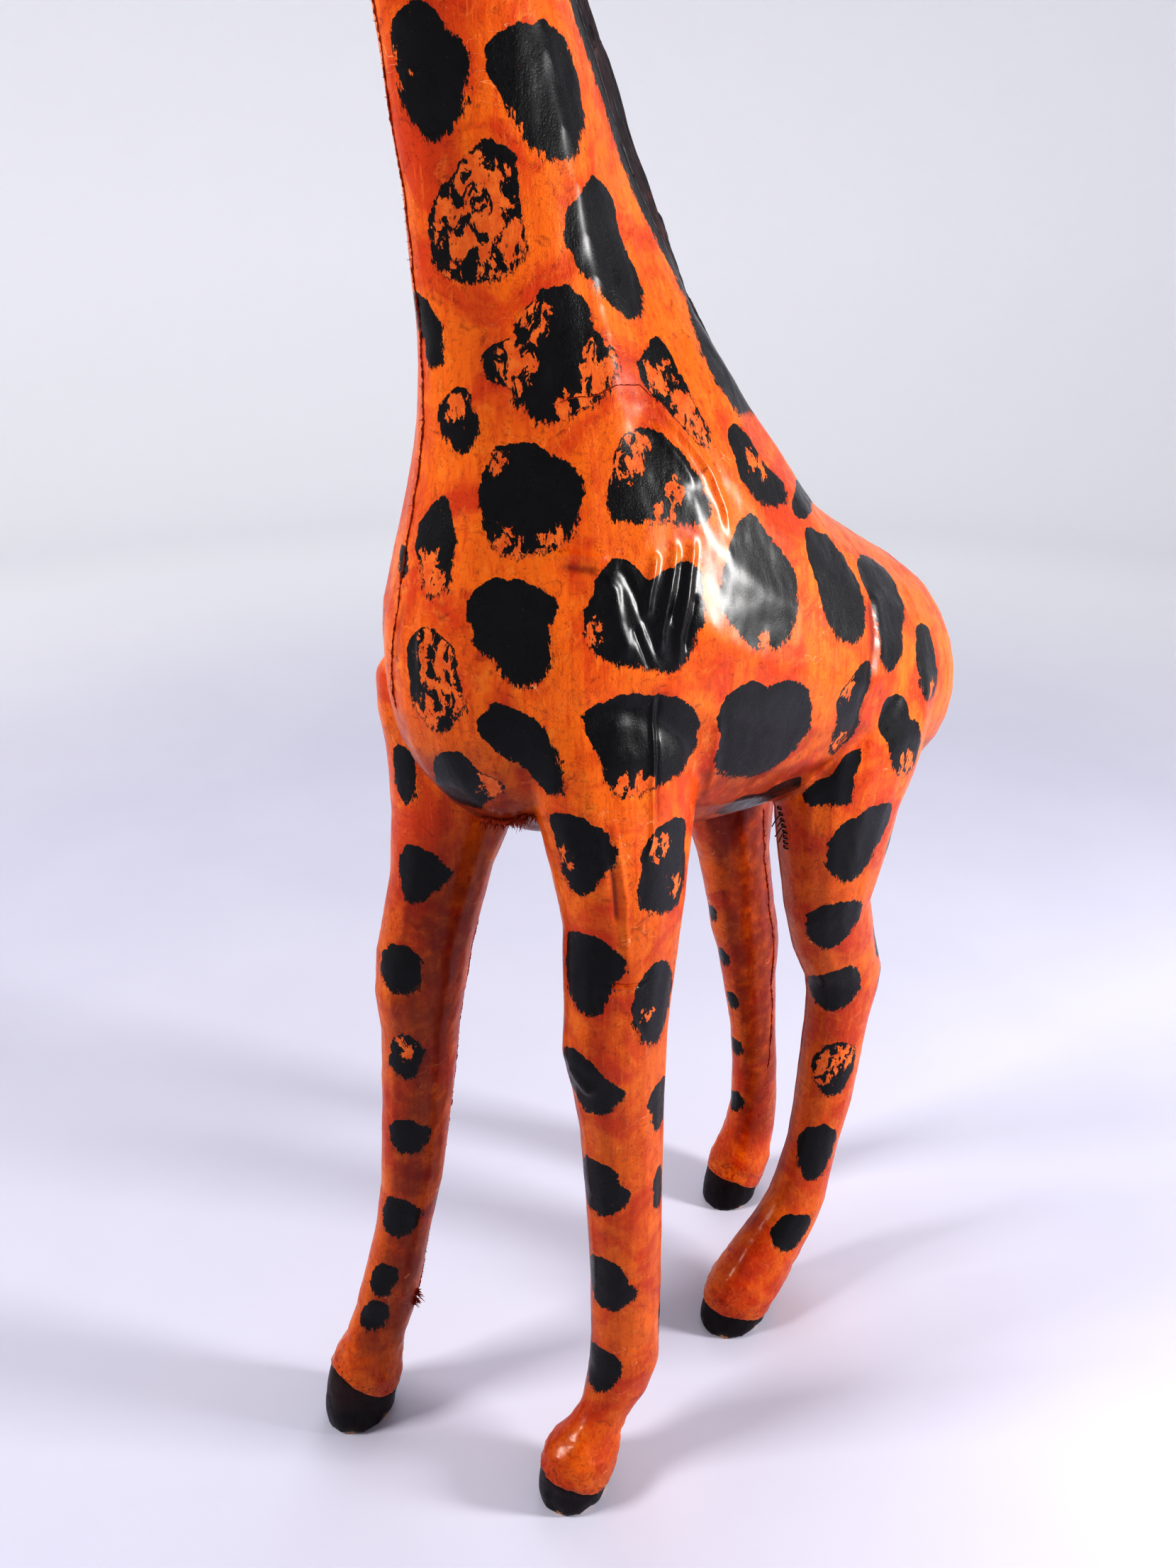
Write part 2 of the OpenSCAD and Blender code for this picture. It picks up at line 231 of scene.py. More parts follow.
def halved(t, middle):
    """A triangle cut at those of its edges that have a middle point."""
    found = [middle.get((min(p, q), max(p, q))) for p, q in zip(t, t[1:] + t[:1])]
    cut = [m is not None for m in found]
    if sum(cut) == 3:
        ab, bc, ca = found
        a, b, c = t
        return [[a, ab, ca], [ab, b, bc], [ca, bc, c], [ab, bc, ca]]
    if sum(cut) == 1:
        turn = cut.index(True)
        a, b, c = t[turn:] + t[:turn]
        m = found[turn]
        return [[a, m, c], [m, b, c]]
    # Two points near always means one edge, and three points mean three, so nothing else comes up.
    return [t]


# ---------------------------------------------------------------- pieces


def make_piece(name, co, faces, material, replaces=(), values=None, normals=None):
    """A finished piece from points in millimetres. It rides on the figure's one body."""
    mesh = bpy.data.meshes.new(name)
    mesh.from_pydata((np.asarray(co) * MM).tolist(), [], faces)
    mesh.shade_smooth()
    for key, v in (values or {}).items():
        layer = mesh.attributes.new(key, "FLOAT", "POINT")
        layer.data.foreach_set("value", np.asarray(v, np.float32))
    if normals is not None:
        mesh.normals_split_custom_set_from_vertices(normals.tolist())
    mesh.materials.append(material)
    piece = bpy.data.objects.new(name, mesh)
    bpy.context.scene.collection.objects.link(piece)
    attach(piece, "root")
    if replaces:
        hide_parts(*replaces)
    return piece


def leather_piece(name, skin, material, replaces):
    """A skin with its real thickness: the surface, its inner side and the cut rim."""
    co, tri = skin.co, skin.tri
    normals = unit(skin.values["normal"])
    count = len(co)
    walls = [[b, a, a + count, b + count] for a, b in rim_of(tri).tolist()]
    faces = tri.tolist() + (tri[:, ::-1] + count).tolist() + walls
    values = {k: np.concatenate([v, v]) for k, v in skin.values.items() if k != "normal"}
    return make_piece(
        name, np.vstack([co, co - LEATHER * normals]), faces, material,
        replaces, values, np.vstack([normals, -normals]),
    )


def bare_leather(count, shade, spot=20.0, ragged=2.0):
    """The values that the leather material reads, for a piece that isn't cut from the skin."""
    values = {"spot": spot, "ragged": ragged, "wear": UNWORN, "shade": shade, "hem": FAR}
    return {key: np.zeros(count) + v for key, v in values.items()}


# ---------------------------------------------------------------- shaders


class Shader:
    """Short names for the nodes that the materials use. Its coordinates are in millimetres."""

    def __init__(self, name):
        self.material = bpy.data.materials.new(name)
        self.material.use_nodes = True
        self.tree = self.material.node_tree
        self.surface = self.tree.nodes["Principled BSDF"]
        place = self.node("ShaderNodeTexCoord").outputs["Object"]
        self.mm = self.scaled(place, (1000, 1000, 1000))

    def node(self, kind, inputs=None, **settings):
        made = self.tree.nodes.new(kind)
        for key, v in settings.items():
            setattr(made, key, v)
        for key, v in (inputs or {}).items():
            self.put(made.inputs[key], v)
        return made

    def put(self, socket, v):
        if isinstance(v, bpy.types.NodeSocket):
            self.tree.links.new(v, socket)
        else:
            socket.default_value = v

    def scaled(self, vector, by):
        return self.node(
            "ShaderNodeVectorMath", {0: vector, 1: by}, operation="MULTIPLY"
        ).outputs[0]

    def math(self, operation, a, b=0.0, c=0.0):
        made = self.node("ShaderNodeMath", {0: a, 1: b, 2: c}, operation=operation)
        return made.outputs[0]

    def plus(self, a, b):
        return self.math("ADD", a, b)

    def times(self, a, b):
        return self.math("MULTIPLY", a, b)

    def less(self, a, b):
        return self.math("SUBTRACT", a, b)

    def value(self, name):
        return self.node("ShaderNodeAttribute", attribute_name=name).outputs["Fac"]

    def noise(self, size, detail=3.0, rough=0.55, stretch=(1, 1, 1), warp=0.0):
        """Noise from 0 to 1 with lumps of about size millimetres."""
        by = tuple(1 / (size * s) for s in stretch)
        return self.node(
            "ShaderNodeTexNoise",
            {"Vector": self.scaled(self.mm, by), "Scale": 1.0, "Detail": detail,
             "Roughness": rough, "Distortion": warp},
        ).outputs["Fac"]

    def swing(self, size, by, *more):
        """Noise round zero, as far as half of by to each side."""
        return self.times(self.less(self.noise(size, *more), 0.5), by)

    def line(self, *noise):
        """0 along the winding lines where a noise passes its middle."""
        return self.math("ABSOLUTE", self.less(self.noise(*noise), 0.5))

    def between(self, v, low, high, to_low=0.0, to_high=1.0):
        return self.node(
            "ShaderNodeMapRange",
            {"Value": v, "From Min": low, "From Max": high, "To Min": to_low, "To Max": to_high},
            interpolation_type="SMOOTHSTEP",
        ).outputs["Result"]

    def mix(self, share, a, b):
        made = self.node("ShaderNodeMix", data_type="RGBA")
        for key, v in (("Factor_Float", share), ("A_Color", a), ("B_Color", b)):
            self.put(next(s for s in made.inputs if s.identifier == key), v)
        return next(s for s in made.outputs if s.identifier == "Result_Color")

    def bump(self, height, depth, strength=1.0, under=None):
        """depth is in millimetres."""
        inputs = {"Height": height, "Distance": depth * MM, "Strength": strength}
        if under is not None:
            inputs["Normal"] = under
        return self.node("ShaderNodeBump", inputs).outputs["Normal"]

    def finish(self, **inputs):
        for key, v in inputs.items():
            self.put(self.surface.inputs[key.replace("_", " ")], v)
        return self.material


def rgba(*screen):
    """A colour from screen values of 0 to 255."""
    return (*(((v / 255 + 0.055) / 1.055) ** 2.4 if v > 10 else v / 3295 for v in screen), 1)


ORANGE = rgba(229, 112, 12)
DEEP_ORANGE = rgba(200, 66, 5)
RED_BROWN = rgba(104, 16, 3)
PEACH = rgba(236, 138, 46)
TAN = rgba(228, 120, 44)
PAINT = rgba(3, 2, 3)
BROWN_PAINT = rgba(34, 12, 9)


def leather_material():
    """Orange varnished leather. The values at its points say where it is painted and worn, and how
    far it is darkened, mostly by painted shade.
    """
    s = Shader("spotted_leather")
    spot, ragged, wear, shade, hem = map(s.value, ("spot", "ragged", "wear", "shade", "hem"))

    # The hide's own colour: broad mottling, streaks along the limb and small dark stains, and then
    # the painted shade that the shade value gives, in red-brown.
    streak = s.noise(2.4, 3, 0.6, (1, 1, 11))
    colour = s.mix(s.between(s.noise(34, 4, 0.6, warp=0.8), 0.36, 0.6), DEEP_ORANGE, ORANGE)
    # Painted shade: the shade value, broken up a little by noise.
    shaded = s.times(shade, s.between(s.noise(12, 4, 0.65), 0.25, 0.6, 0.55, 1.0))
    # Above a hoof the hide is cracked and stained where it was pulled round the ball.
    crack = s.between(s.noise(5.5, 5, 0.7, (1, 1, 0.6), 1.8), 0.52, 0.66)
    crack = s.times(s.between(hem, 26.0, 2.0), crack)
    for share, tint in (
        (s.between(s.noise(15, 4, 0.65, warp=1.2), 0.53, 0.72, 0, 0.5), PEACH),
        (s.between(streak, 0.5, 0.3, 0, 0.55), DEEP_ORANGE),
        (s.between(streak, 0.55, 0.72, 0, 0.35), PEACH),
        (s.between(s.noise(2.6, 4, 0.75), 0.45, 0.28, 0, 0.5), RED_BROWN),
        (s.times(s.between(s.noise(11, 5, 0.7, warp=2.0), 0.57, 0.7), 0.5), RED_BROWN),
        (s.between(s.line(16, 5, 0.62, (1, 1, 1), 1.5), 0.010, 0.002, 0, 0.4), RED_BROWN),
        # painted shade
        (shaded, RED_BROWN),
        (s.times(crack, 0.75), RED_BROWN),
    ):
        colour = s.mix(share, colour, tint)

    # Painted spots. A brushed edge is crisp, and frays into bristle marks where the brush left.
    bristle = s.less(s.noise(1.5, 4, 0.8, (1, 1, 3.2), 0.3), 0.5)
    edge = s.math("MULTIPLY_ADD", bristle, ragged, spot)
    edge = s.plus(edge, s.plus(s.swing(7, 6.5, 3, 0.55), s.swing(2.2, 1.6, 3, 0.7)))
    painted = s.between(edge, 0.14, -0.14)

    # Where the paint has flaked the leather shows paler, with a broken dark rim round the spot.
    island = s.swing(4.6, 22, 4, 0.62, (1, 1, 1.7), 0.6)
    chips = s.swing(1.2, 4.5, 3, 0.7, (1, 1, 2.0))
    bare_by = s.plus(s.math("MINIMUM", wear, 0.8), s.plus(island, chips))
    specks = s.between(s.noise(0.9, 3, 0.6), 0.735, 0.75, 0, 0.8)
    flaked = s.math("MAXIMUM", s.between(bare_by, -0.12, 0.12), specks)
    rim = s.times(s.between(edge, -1.0, -0.7), s.between(s.noise(5, 3, 0.6), 0.44, 0.5))
    flaked = s.times(flaked, s.less(1.0, rim))
    bare = s.mix(s.between(s.noise(5.0, 4, 0.7), 0.3, 0.7, 0.35, 1.0), DEEP_ORANGE, TAN)
    bare = s.mix(s.between(s.noise(1.6, 3, 0.7, (1, 1, 2)), 0.6, 0.68, 0, 0.8), bare, BROWN_PAINT)
    dark = s.mix(s.between(s.noise(13, 3, 0.6), 0.45, 0.75, 0, 0.5), PAINT, rgba(20, 14, 18))
    dark = s.mix(s.times(s.between(bare_by, -1.6, -0.2), 0.7), dark, BROWN_PAINT)
    colour = s.mix(painted, colour, s.mix(flaked, dark, bare))
    coat = s.times(painted, s.less(1.0, flaked))

    # The few fine pale scratches, off the paint.
    scratch = s.between(s.line(21, 2, 0.5, (1, 1, 0.7), 1.0), 0.0024, 0.0008)
    scratch = s.times(scratch, s.between(s.noise(30, 2, 0.5), 0.56, 0.6))
    scratch = s.times(scratch, s.less(0.55, s.times(painted, 0.55)))
    colour = s.mix(scratch, colour, rgba(236, 176, 130))

    # Relief: small creases, the hide's grain lines, pores and the thickness of the paint.
    by = s.scaled(s.mm, (1 / 1.1, 1 / 1.1, 1 / 1.1))
    pores = s.node("ShaderNodeTexVoronoi", {"Vector": by, "Scale": 1.0}).outputs["Distance"]
    normal = s.bump(s.noise(4.2, 4, 0.62, (1, 1, 2.0), 0.8), 0.55, 0.55)
    normal = s.bump(s.noise(0.9, 4, 0.7, (1, 1, 6)), 0.20, 0.6, normal)
    normal = s.bump(s.between(pores, 0.0, 0.55), 0.12, 0.6, normal)
    normal = s.bump(coat, 0.10, 0.8, normal)
    normal = s.bump(s.less(1.0, crack), 0.3, 0.7, normal)

    rough = s.less(s.between(s.noise(7, 4, 0.7), 0.3, 0.7, 0.34, 0.5), s.times(coat, 0.09))
    rough = s.plus(rough, s.times(flaked, s.times(painted, 0.1)))
    return s.finish(
        Base_Color=colour, Roughness=rough, Normal=normal, Specular_IOR_Level=0.1,
        Coat_Weight=0.5, Coat_Roughness=0.24, Coat_IOR=1.5, IOR=1.45,
    )


def torn_material():
    """The flesh side of the leather, where an edge is torn."""
    s = Shader("torn_leather")
    colour = s.mix(s.between(s.noise(2.2, 4, 0.7), 0.35, 0.65), rgba(104, 22, 6), rgba(150, 50, 14))
    colour = s.mix(s.between(s.noise(0.8, 3, 0.7), 0.56, 0.72), colour, rgba(196, 92, 44))
    normal = s.bump(s.noise(0.6, 3, 0.7), 0.3, 0.9)
    return s.finish(Base_Color=colour, Roughness=0.75, Normal=normal, Specular_IOR_Level=0.2)


def mane_material():
    """Dark brush-painted leather, streaked along the neck, with pale streaks that are partly a
    painted sheen, and brown worn ridges.
    """
    s = Shader("mane_paint")
    along = s.noise(1.1, 4, 0.7, (1, 5, 14), 0.2)
    wide = s.noise(3.4, 3, 0.6, (1, 5, 16))
    colour = s.mix(s.between(wide, 0.38, 0.62), rgba(16, 12, 16), rgba(44, 26, 28))
    # Pale purple-grey streaks: brush streaks, with a painted sheen in them.
    colour = s.mix(s.between(along, 0.55, 0.7, 0, 0.8), colour, rgba(92, 66, 66))
    colour = s.mix(s.between(along, 0.42, 0.28, 0, 0.9), colour, rgba(5, 4, 6))
    ridges = s.between(s.noise(9, 4, 0.7, (1, 3, 6)), 0.62, 0.7, 0, 0.7)
    colour = s.mix(ridges, colour, rgba(120, 44, 20))
    normal = s.bump(along, 0.5, 0.8)
    rough = s.between(along, 0.3, 0.7, 0.34, 0.5)
    return s.finish(Base_Color=colour, Roughness=rough, Normal=normal, Specular_IOR_Level=0.25)


def hair_material():
    s = Shader("tuft_hair")
    colour = s.mix(s.noise(1.5, 3, 0.6), rgba(8, 6, 6), rgba(40, 26, 22))
    normal = s.bump(s.noise(0.5, 3, 0.6, (1, 1, 10)), 0.1, 0.6)
    return s.finish(Base_Color=colour, Roughness=0.42, Normal=normal)


def thread_material():
    s = Shader("black_thread")
    twist = s.node("ShaderNodeTexWave", {"Vector": s.mm, "Scale": 0.9, "Distortion": 1.0})
    colour = s.mix(s.noise(0.8, 2, 0.5), rgba(8, 7, 8), rgba(34, 28, 28))
    normal = s.bump(twist.outputs["Fac"], 0.15, 0.8)
    return s.finish(Base_Color=colour, Roughness=0.6, Normal=normal)


def wood_material(name, pale, dark, size):
    """Carved wood with its grain along the height and the marks of the knife."""
    s = Shader(name)
    rings = s.noise(size, 4, 0.6, (1, 1, 9), 0.5)
    colour = s.mix(s.between(rings, 0.35, 0.65), dark, pale)
    colour = s.mix(s.between(s.noise(1.0, 3, 0.6, (1, 1, 14)), 0.55, 0.75, 0, 0.5), colour, dark)
    normal = s.bump(s.noise(6, 3, 0.5, (1, 1, 2)), 0.4, 0.5)
    normal = s.bump(rings, 0.15, 0.6, normal)
    return s.finish(Base_Color=colour, Roughness=0.7, Normal=normal)


def glass_eye_material(centre):
    """A glass eye: a black pupil in a brown iris that darkens to its edge, under clear glass."""
    s = Shader("glass_eye")
    distance = s.node("ShaderNodeVectorMath", {0: s.mm, 1: centre}, operation="DISTANCE")
    from_pupil = distance.outputs["Value"]
    ray = s.noise(0.8, 3, 0.6, warp=0.8)
    iris = s.mix(ray, rgba(54, 24, 8), rgba(120, 62, 22))
    iris = s.mix(s.between(from_pupil, 3.2, 4.4), iris, rgba(12, 6, 4))
    colour = s.mix(s.between(from_pupil, 2.3, 2.0), iris, rgba(2, 2, 2))
    normal = s.bump(s.noise(2, 2, 0.5), 0.03, 0.4)
    return s.finish(
        Base_Color=colour, Roughness=0.18, Normal=normal, Coat_Weight=1.0, Coat_Roughness=0.03,
    )


def hoof_material():
    """Black paint over the carved hoof, brown where it is thin, with bare wood at the chips."""
    s = Shader("hoof_paint")
    chip, up = s.value("chip"), s.value("rise")
    torn = s.plus(s.noise(2.6, 5, 0.7), chip)
    bare = s.between(torn, 1.06, 1.1)
    streak = s.noise(1.0, 4, 0.65, (1, 1, 8))
    black = s.mix(s.between(streak, 0.4, 0.7), rgba(7, 5, 7), rgba(30, 18, 20))
    brown = s.plus(s.between(up, 14.0, 32.0, 0, 0.35), s.between(torn, 0.85, 1.05, 0, 0.6))
    colour = s.mix(s.times(brown, s.noise(4, 4, 0.7)), black, rgba(84, 36, 26))
    wood = s.mix(s.noise(1.2, 3, 0.6, (1, 1, 6)), rgba(214, 176, 140), rgba(150, 96, 62))
    normal = s.bump(streak, 0.25, 0.6)
    normal = s.bump(s.noise(3, 4, 0.6), 0.25, 0.5, normal)
    normal = s.bump(s.less(1.0, bare), 0.4, 0.8, normal)
    rough = s.plus(s.between(s.noise(5, 3, 0.6), 0.3, 0.7, 0.3, 0.46), s.times(bare, 0.4))
    return s.finish(
        Base_Color=s.mix(bare, colour, wood), Roughness=rough, Normal=normal,
        Specular_IOR_Level=0.22,
    )


# ---------------------------------------------------------------- the whole skin

VOXEL = 2.0  # the size of the grid that the skin is taken from, in millimetres
HEAD_FROM = 845  # the height above which the skin is the head's
CORES = [f"{part}_core" for part in BODY_PARTS] + [f"{leg}_leg_core" for leg in LEGS]
PINS = ["leg_dowels", "hoof_pegs", "neck_dowel", "head_dowel"]
LEG_NODES = [f"{leg}_{kind}" for leg in LEGS for kind in ("leg_core", "leg_hide", "hoof")]
SKIN_NODES = [f"{part}_{layer}" for part in BODY_PARTS for layer in ("core", "hide")] + LEG_NODES
SKIN_NODES += PINS + ["left_eye", "right_eye"]

# Each hoof, in millimetres: y at the toe and the heel, x of the middle and half the width, the
# height where the leather ends at the toe and the heel, and the height of the block's own top.
HEMS = {
    "front_left": (-114, -72, 61.5, 18, 25, 11, 35, 22),
    "front_right": (-183, -140, -61, 18, 47, 20, 42, 27),
    "hind_left": (46, 98, 39.5, 20, 20, 7, 38, 19),
    "hind_right": (128, 172, -39.5, 18, 28, 11, 42, 31),
}
EYE = (22.5, -167.2, 884)
BROW = ((22, -176, 890), (22, -166, 894), (21, -156, 893))

# Folds and creases: the line that each follows on the skin, its half-width and its height.
FOLDS = [
    (((64, -76, 536), (63, -71, 531), (66, -68, 523), (67, -65, 514), (69, -61, 504),
      (70, -57, 492)), 1.9, -0.9),
    (((66, -60, 541), (67, -58, 536), (67, -62, 522), (68, -65, 511)), 2.0, 1.5),
    (((68, -46, 545), (68, -48, 536), (69, -53, 521), (70, -57, 507), (71, -58, 494)), 2.2, 1.6),
    (((68, -43, 536), (70, -48, 521), (71, -52, 507)), 1.5, -0.8),
    (((68, -36, 545), (69, -39, 535), (71, -44, 518), (71, -48, 503), (72, -47, 488)), 2.3, 1.5),
    (((71, -38, 520), (72, -42, 507), (72, -45, 494)), 1.6, -0.8),
    (((60, -82, 533), (62, -77, 526), (63, -76, 512), (66, -71, 496)), 2.6, 1.4),
    (((66, -70, 512), (68, -66, 500), (69, -61, 488)), 1.5, -0.8),
    (((49, -49, 602), (54, -37, 586), (58, -28, 575), (61, -22, 565), (65, -17, 551),
      (69, -15, 536)), 2.4, 1.5),
    (((52, -48, 588), (58, -38, 573), (62, -31, 560)), 2.6, 0.8),
    (((45, -98, 541), (50, -95, 541), (55, -89, 541), (59, -82, 539), (62, -76, 540)), 1.7, 1.3),
    (((45, -98, 537), (52, -93, 536), (60, -82, 534)), 1.6, -0.8),
    (((61, 90, 500), (68, 91, 484), (74, 88, 465), (75, 83, 444), (71, 80, 421),
      (62, 76, 402), (54, 68, 388)), 3.2, -1.0),
    (((60, 98, 498), (70, 99, 482), (75, 96, 462), (75, 92, 440)), 4.5, 1.0),
    (((68, -59, 484), (69, -60, 463), (72, -62, 438), (73, -62, 415), (72, -66, 396)), 1.3, 1.0),
    (((68, -57, 484), (70, -57, 463), (73, -59, 438), (74, -59, 415)), 1.3, -0.7),
    (((67, -82, 428), (69, -78, 405), (70, -75, 385), (70, -74, 362), (71, -73, 345)), 1.8, 1.1),
    (((65, -84, 415), (67, -80, 395), (68, -78, 370)), 1.4, -0.8),
    (((72, -32, 430), (72, -28, 415), (70, -24, 400), (66, -20, 386)), 1.8, 0.9),
    (((73, -22, 462), (69, -20, 445), (64, -16, 425), (56, -12, 410)), 2.4, 0.9),
    (((62, -84, 334), (64, -83, 322), (64, -83, 308)), 1.4, 1.0),
    (((66, -80, 336), (70, -72, 322), (72, -66, 306), (71, -62, 292)), 1.5, 1.0),
    (((69, -70, 334), (71, -66, 318)), 1.2, -0.8),
    (((50, -91, 290), (56, -90, 282), (62, -86, 274)), 3.0, 1.6),
    (((0, -137, 520), (-3, -141, 505), (-4, -141, 490)), 1.4, -0.8),
    (((10, -134, 520), (12, -138, 503), (10, -136, 480)), 1.8, 0.8),
    (((-30, 168, 440), (0, 186, 470), (30, 178, 450)), 3.5, 0.8),
    (((-72, -60, 520), (-73, -50, 500), (-74, -44, 478)), 2.2, 1.3),
    (((-70, -46, 524), (-73, -38, 502), (-74, -32, 480)), 1.8, -0.8),
    (((-66, 92, 492), (-74, 88, 462), (-72, 80, 424), (-60, 72, 398)), 3.2, -1.0),
]
# Slits are narrower than the folds and much sharper.
SLITS = [
    (((66, -82, 340), (68, -79, 339), (70, -75, 337.5), (73, -68, 337), (74, -62, 338)), 0.8, -0.9),
    (((66, -82, 338), (69, -77, 337), (73, -68, 335), (74, -62, 336)), 0.7, 0.7),
    (((21, -188, 878), (23, -176, 874), (24.5, -160, 874), (25, -148, 880)), 1.6, 0.7),
    (((-21, -188, 878), (-23, -176, 874), (-24.5, -160, 874), (-25, -148, 880)), 1.6, 0.7),
]


def run_of(path):
    """How far along a line of points each of them is."""
    return np.concatenate([[0], np.cumsum(np.linalg.norm(np.diff(path, axis=0), axis=1))])


def from_path(co, path):
    """Distance to a line of points, and how far along it the nearest place is, from 0 to 1."""
    path = np.array(path, float)
    steps = np.linalg.norm(np.diff(path, axis=0), axis=1)
    starts = run_of(path)
    best, share = np.full(len(co), 1e9), np.zeros(len(co))
    for n, (a, b) in enumerate(zip(path, path[1:])):
        t = np.clip((co - a) @ (b - a) / steps[n] ** 2, 0, 1)
        away = np.linalg.norm(co - a - t[:, None] * (b - a), axis=1)
        closer = away < best
        best[closer] = away[closer]
        share[closer] = (starts[n] + t[closer] * steps[n]) / starts[-1]
    return best, share


MOUTH = (
    (0, -242, 833), (0, -234, 834), (0, -225, 837), (0, -213, 843), (0, -200, 850), (0, -193, 853),
)
NOSTRIL = ((6.5, 0, 844.5), (8.5, 0, 848), (10.5, 0, 851))


def muzzle_lines(co):
    """Distances to the mouth, taken from the side, and to the nostrils, taken from the front."""
    mouth, share = from_path(co * (0, 1, 1), MOUTH)
    mouth += 9 * smoothstep(0.9, 1.0, share)
    nostril = from_path(np.abs(co * (1, 0, 0)) + co * (0, 0, 1), NOSTRIL)[0]
    return np.where(co[:, 1] < -185, mouth, FAR), np.where(co[:, 1] < -219, nostril, FAR)


def leg_value(co, give):
    """give(leg, points) for the points low down on each leg, and FAR for all the others."""
    value = np.full(len(co), FAR)
    for leg, (toe_y, heel_y, x, *_) in HEMS.items():
        near = (co[:, 2] < 110) & (np.abs(co[:, 0] - x) < 34) & (co[:, 1] > toe_y - 25)
        near &= co[:, 1] < heel_y + 75
        value[near] = give(leg, co[near])
    return value


def hem_line(leg, co):
    """How far each point is from toe to heel, from 0 to 1, and the height of the hem there."""
    toe_y, heel_y, _, _, toe_z, heel_z, _, _ = HEMS[leg]
    t = np.clip((co[:, 1] - toe_y) / (heel_y - toe_y), 0, 1)
    return t, heel_z + (toe_z - heel_z) * (1 - t) ** 1.8


def over_hem(leg, co):
    """Height over the wavy line where the leather of a leg ends on its hoof."""
    x, half = HEMS[leg][2:4]
    line = hem_line(leg, co)[1]
    line -= 4.5 * np.minimum(((co[:, 0] - x) / half) ** 2, 1.2)
    return co[:, 2] - line + 0.5 * waves(co, 5, seed=3.1) + 0.25 * waves(co, 1.7, seed=8.4)


def over_block(leg, co):
    """Height over the top of a hoof's block, under the leather."""
    toe_top, heel_top = HEMS[leg][6:]
    t, hem = hem_line(leg, co)
    top = toe_top + (heel_top - toe_top) * t
    return co[:, 2] - np.maximum(top, hem + 2)


def socket(co):
    """How near each point is to the middle of an eye's opening, across the face and up it."""
    side = np.sign(co[:, 0])
    rel = co - np.stack([side * EYE[0], 0 * side + EYE[1], 0 * side + EYE[2]], axis=1)
    away = np.hypot(rel[:, 1] * 0.82, rel[:, 2] * 1.15)
    return np.where(np.abs(rel[:, 0]) < 9, away, FAR)


def whole_skin():
    """The figure's outer surface: smoothed, finer where there is detail, and then wrinkled."""
    co, tri = voxel_union(SKIN_NODES, VOXEL)
    leg = smoothstep(400, 330, co[:, 2])
    head = smoothstep(HEAD_FROM, HEAD_FROM + 20, co[:, 2])
    hoof = smoothstep(56, 40, co[:, 2])
    for rounds, amount in ((8, np.ones(len(co))), (34, (1 - leg) * (1 - head)), (26, hoof)):
        co = smoothed(co, tri, amount, rounds)
    skin = Skin(co, tri)
    for reach, narrow in ((2.6, 3.4), (1.3, 2.0)):
        near = socket(skin.co) < 3 + 3.5 * reach
        near |= np.minimum(*muzzle_lines(skin.co)) < 2.6 * reach
        for path, width, _ in FOLDS:
            if width * 1.2 < narrow:
                near |= from_path(skin.co, path)[0] < width * reach
        for path, width, _ in SLITS:
            near |= from_path(skin.co, path)[0] < 2.4 * width * reach
        skin = skin.finer(near)
    skin.co = skin.co + wrinkles(skin)[:, None] * normals_of(skin.co, skin.tri)
    return clear_of_wood(skin)


def wrinkles(skin):
    """How far each point stands out from the smoothed shape."""
    co = skin.co
    push = np.zeros(len(co))
    for path, width, height in FOLDS + SLITS:
        away, share = from_path(co, path)
        ends = smoothstep(0, 0.18, share) * smoothstep(1, 0.8, share)
        push += height * ends * bell(away, width)
    leg = smoothstep(400, 340, co[:, 2])
    push += 0.45 * waves(co, 26, seed=1.7) * (1 - leg)
    push += 0.22 * waves(co, 8, (1, 1, 2.2), seed=5.3)
    push += 0.14 * waves(co, 3.6, (1, 1, 2.5), seed=9.9)
    # The leather is gathered where it is pulled round the ball over each hoof.
    over = leg_value(co, over_hem)
    ball = smoothstep(0, 6, over) * smoothstep(52, 26, over)
    push += ball * (0.8 * waves(co, 6.5, (1.6, 1.6, 1), seed=2.2) + 0.35 * waves(co, 3.0, seed=6.1))
    push += 0.9 * smoothstep(4, 14, over) * smoothstep(30, 18, over)
    push += 0.9 * smoothstep(-0.4, 0.5, over) * smoothstep(24, 4, over)
    # The lips and the nostrils' rims stand out a little round their openings.
    mouth, nostril = muzzle_lines(co)
    push += 0.7 * bell(mouth - 2.6, 1.3) - 1.7 * bell(mouth, 1.15)
    push += 0.9 * bell(nostril - 3.0, 1.1) - 2.4 * bell(nostril, 1.5)
    # Lids stand out round the eyes, and the eyes' openings are sunk.
    away = socket(co)
    push += 1.3 * bell(away - 6.0, 1.3) - 4.5 * smoothstep(4.9, 3.9, away)
    brow = from_path(np.abs(co * (1, 0, 0)) + co * (0, 1, 1), BROW)[0]
    return push + 1.5 * bell(brow, 2.6)


def clear_of_wood(skin):
    """Keeps the leather's outside a little off the wood that it covers, but not on the head above
    the muzzle, where the eyes are.
    """
    least = 0.3
    for name in CORES:
        points, triangles = mesh_arrays(NODES[name].data)
        tree = BVHTree.FromPolygons(points.tolist(), triangles.tolist())
        low, high = points.min(axis=0) - 2, points.max(axis=0) + 2
        inside = np.flatnonzero(((skin.co > low) & (skin.co < high)).all(axis=1))
        for i in inside:
            place, out, _, _ = tree.find_nearest(Vector(skin.co[i]), 1.5)
            if place is None:
                continue
            gap = (Vector(skin.co[i]) - place).dot(out)
            if gap < least and (skin.co[i, 2] < HEAD_FROM or skin.co[i, 1] < -200):
                skin.co[i] += np.array(out) * min(least - gap, LEATHER)
    return skin


# ---------------------------------------------------------------- painted spots

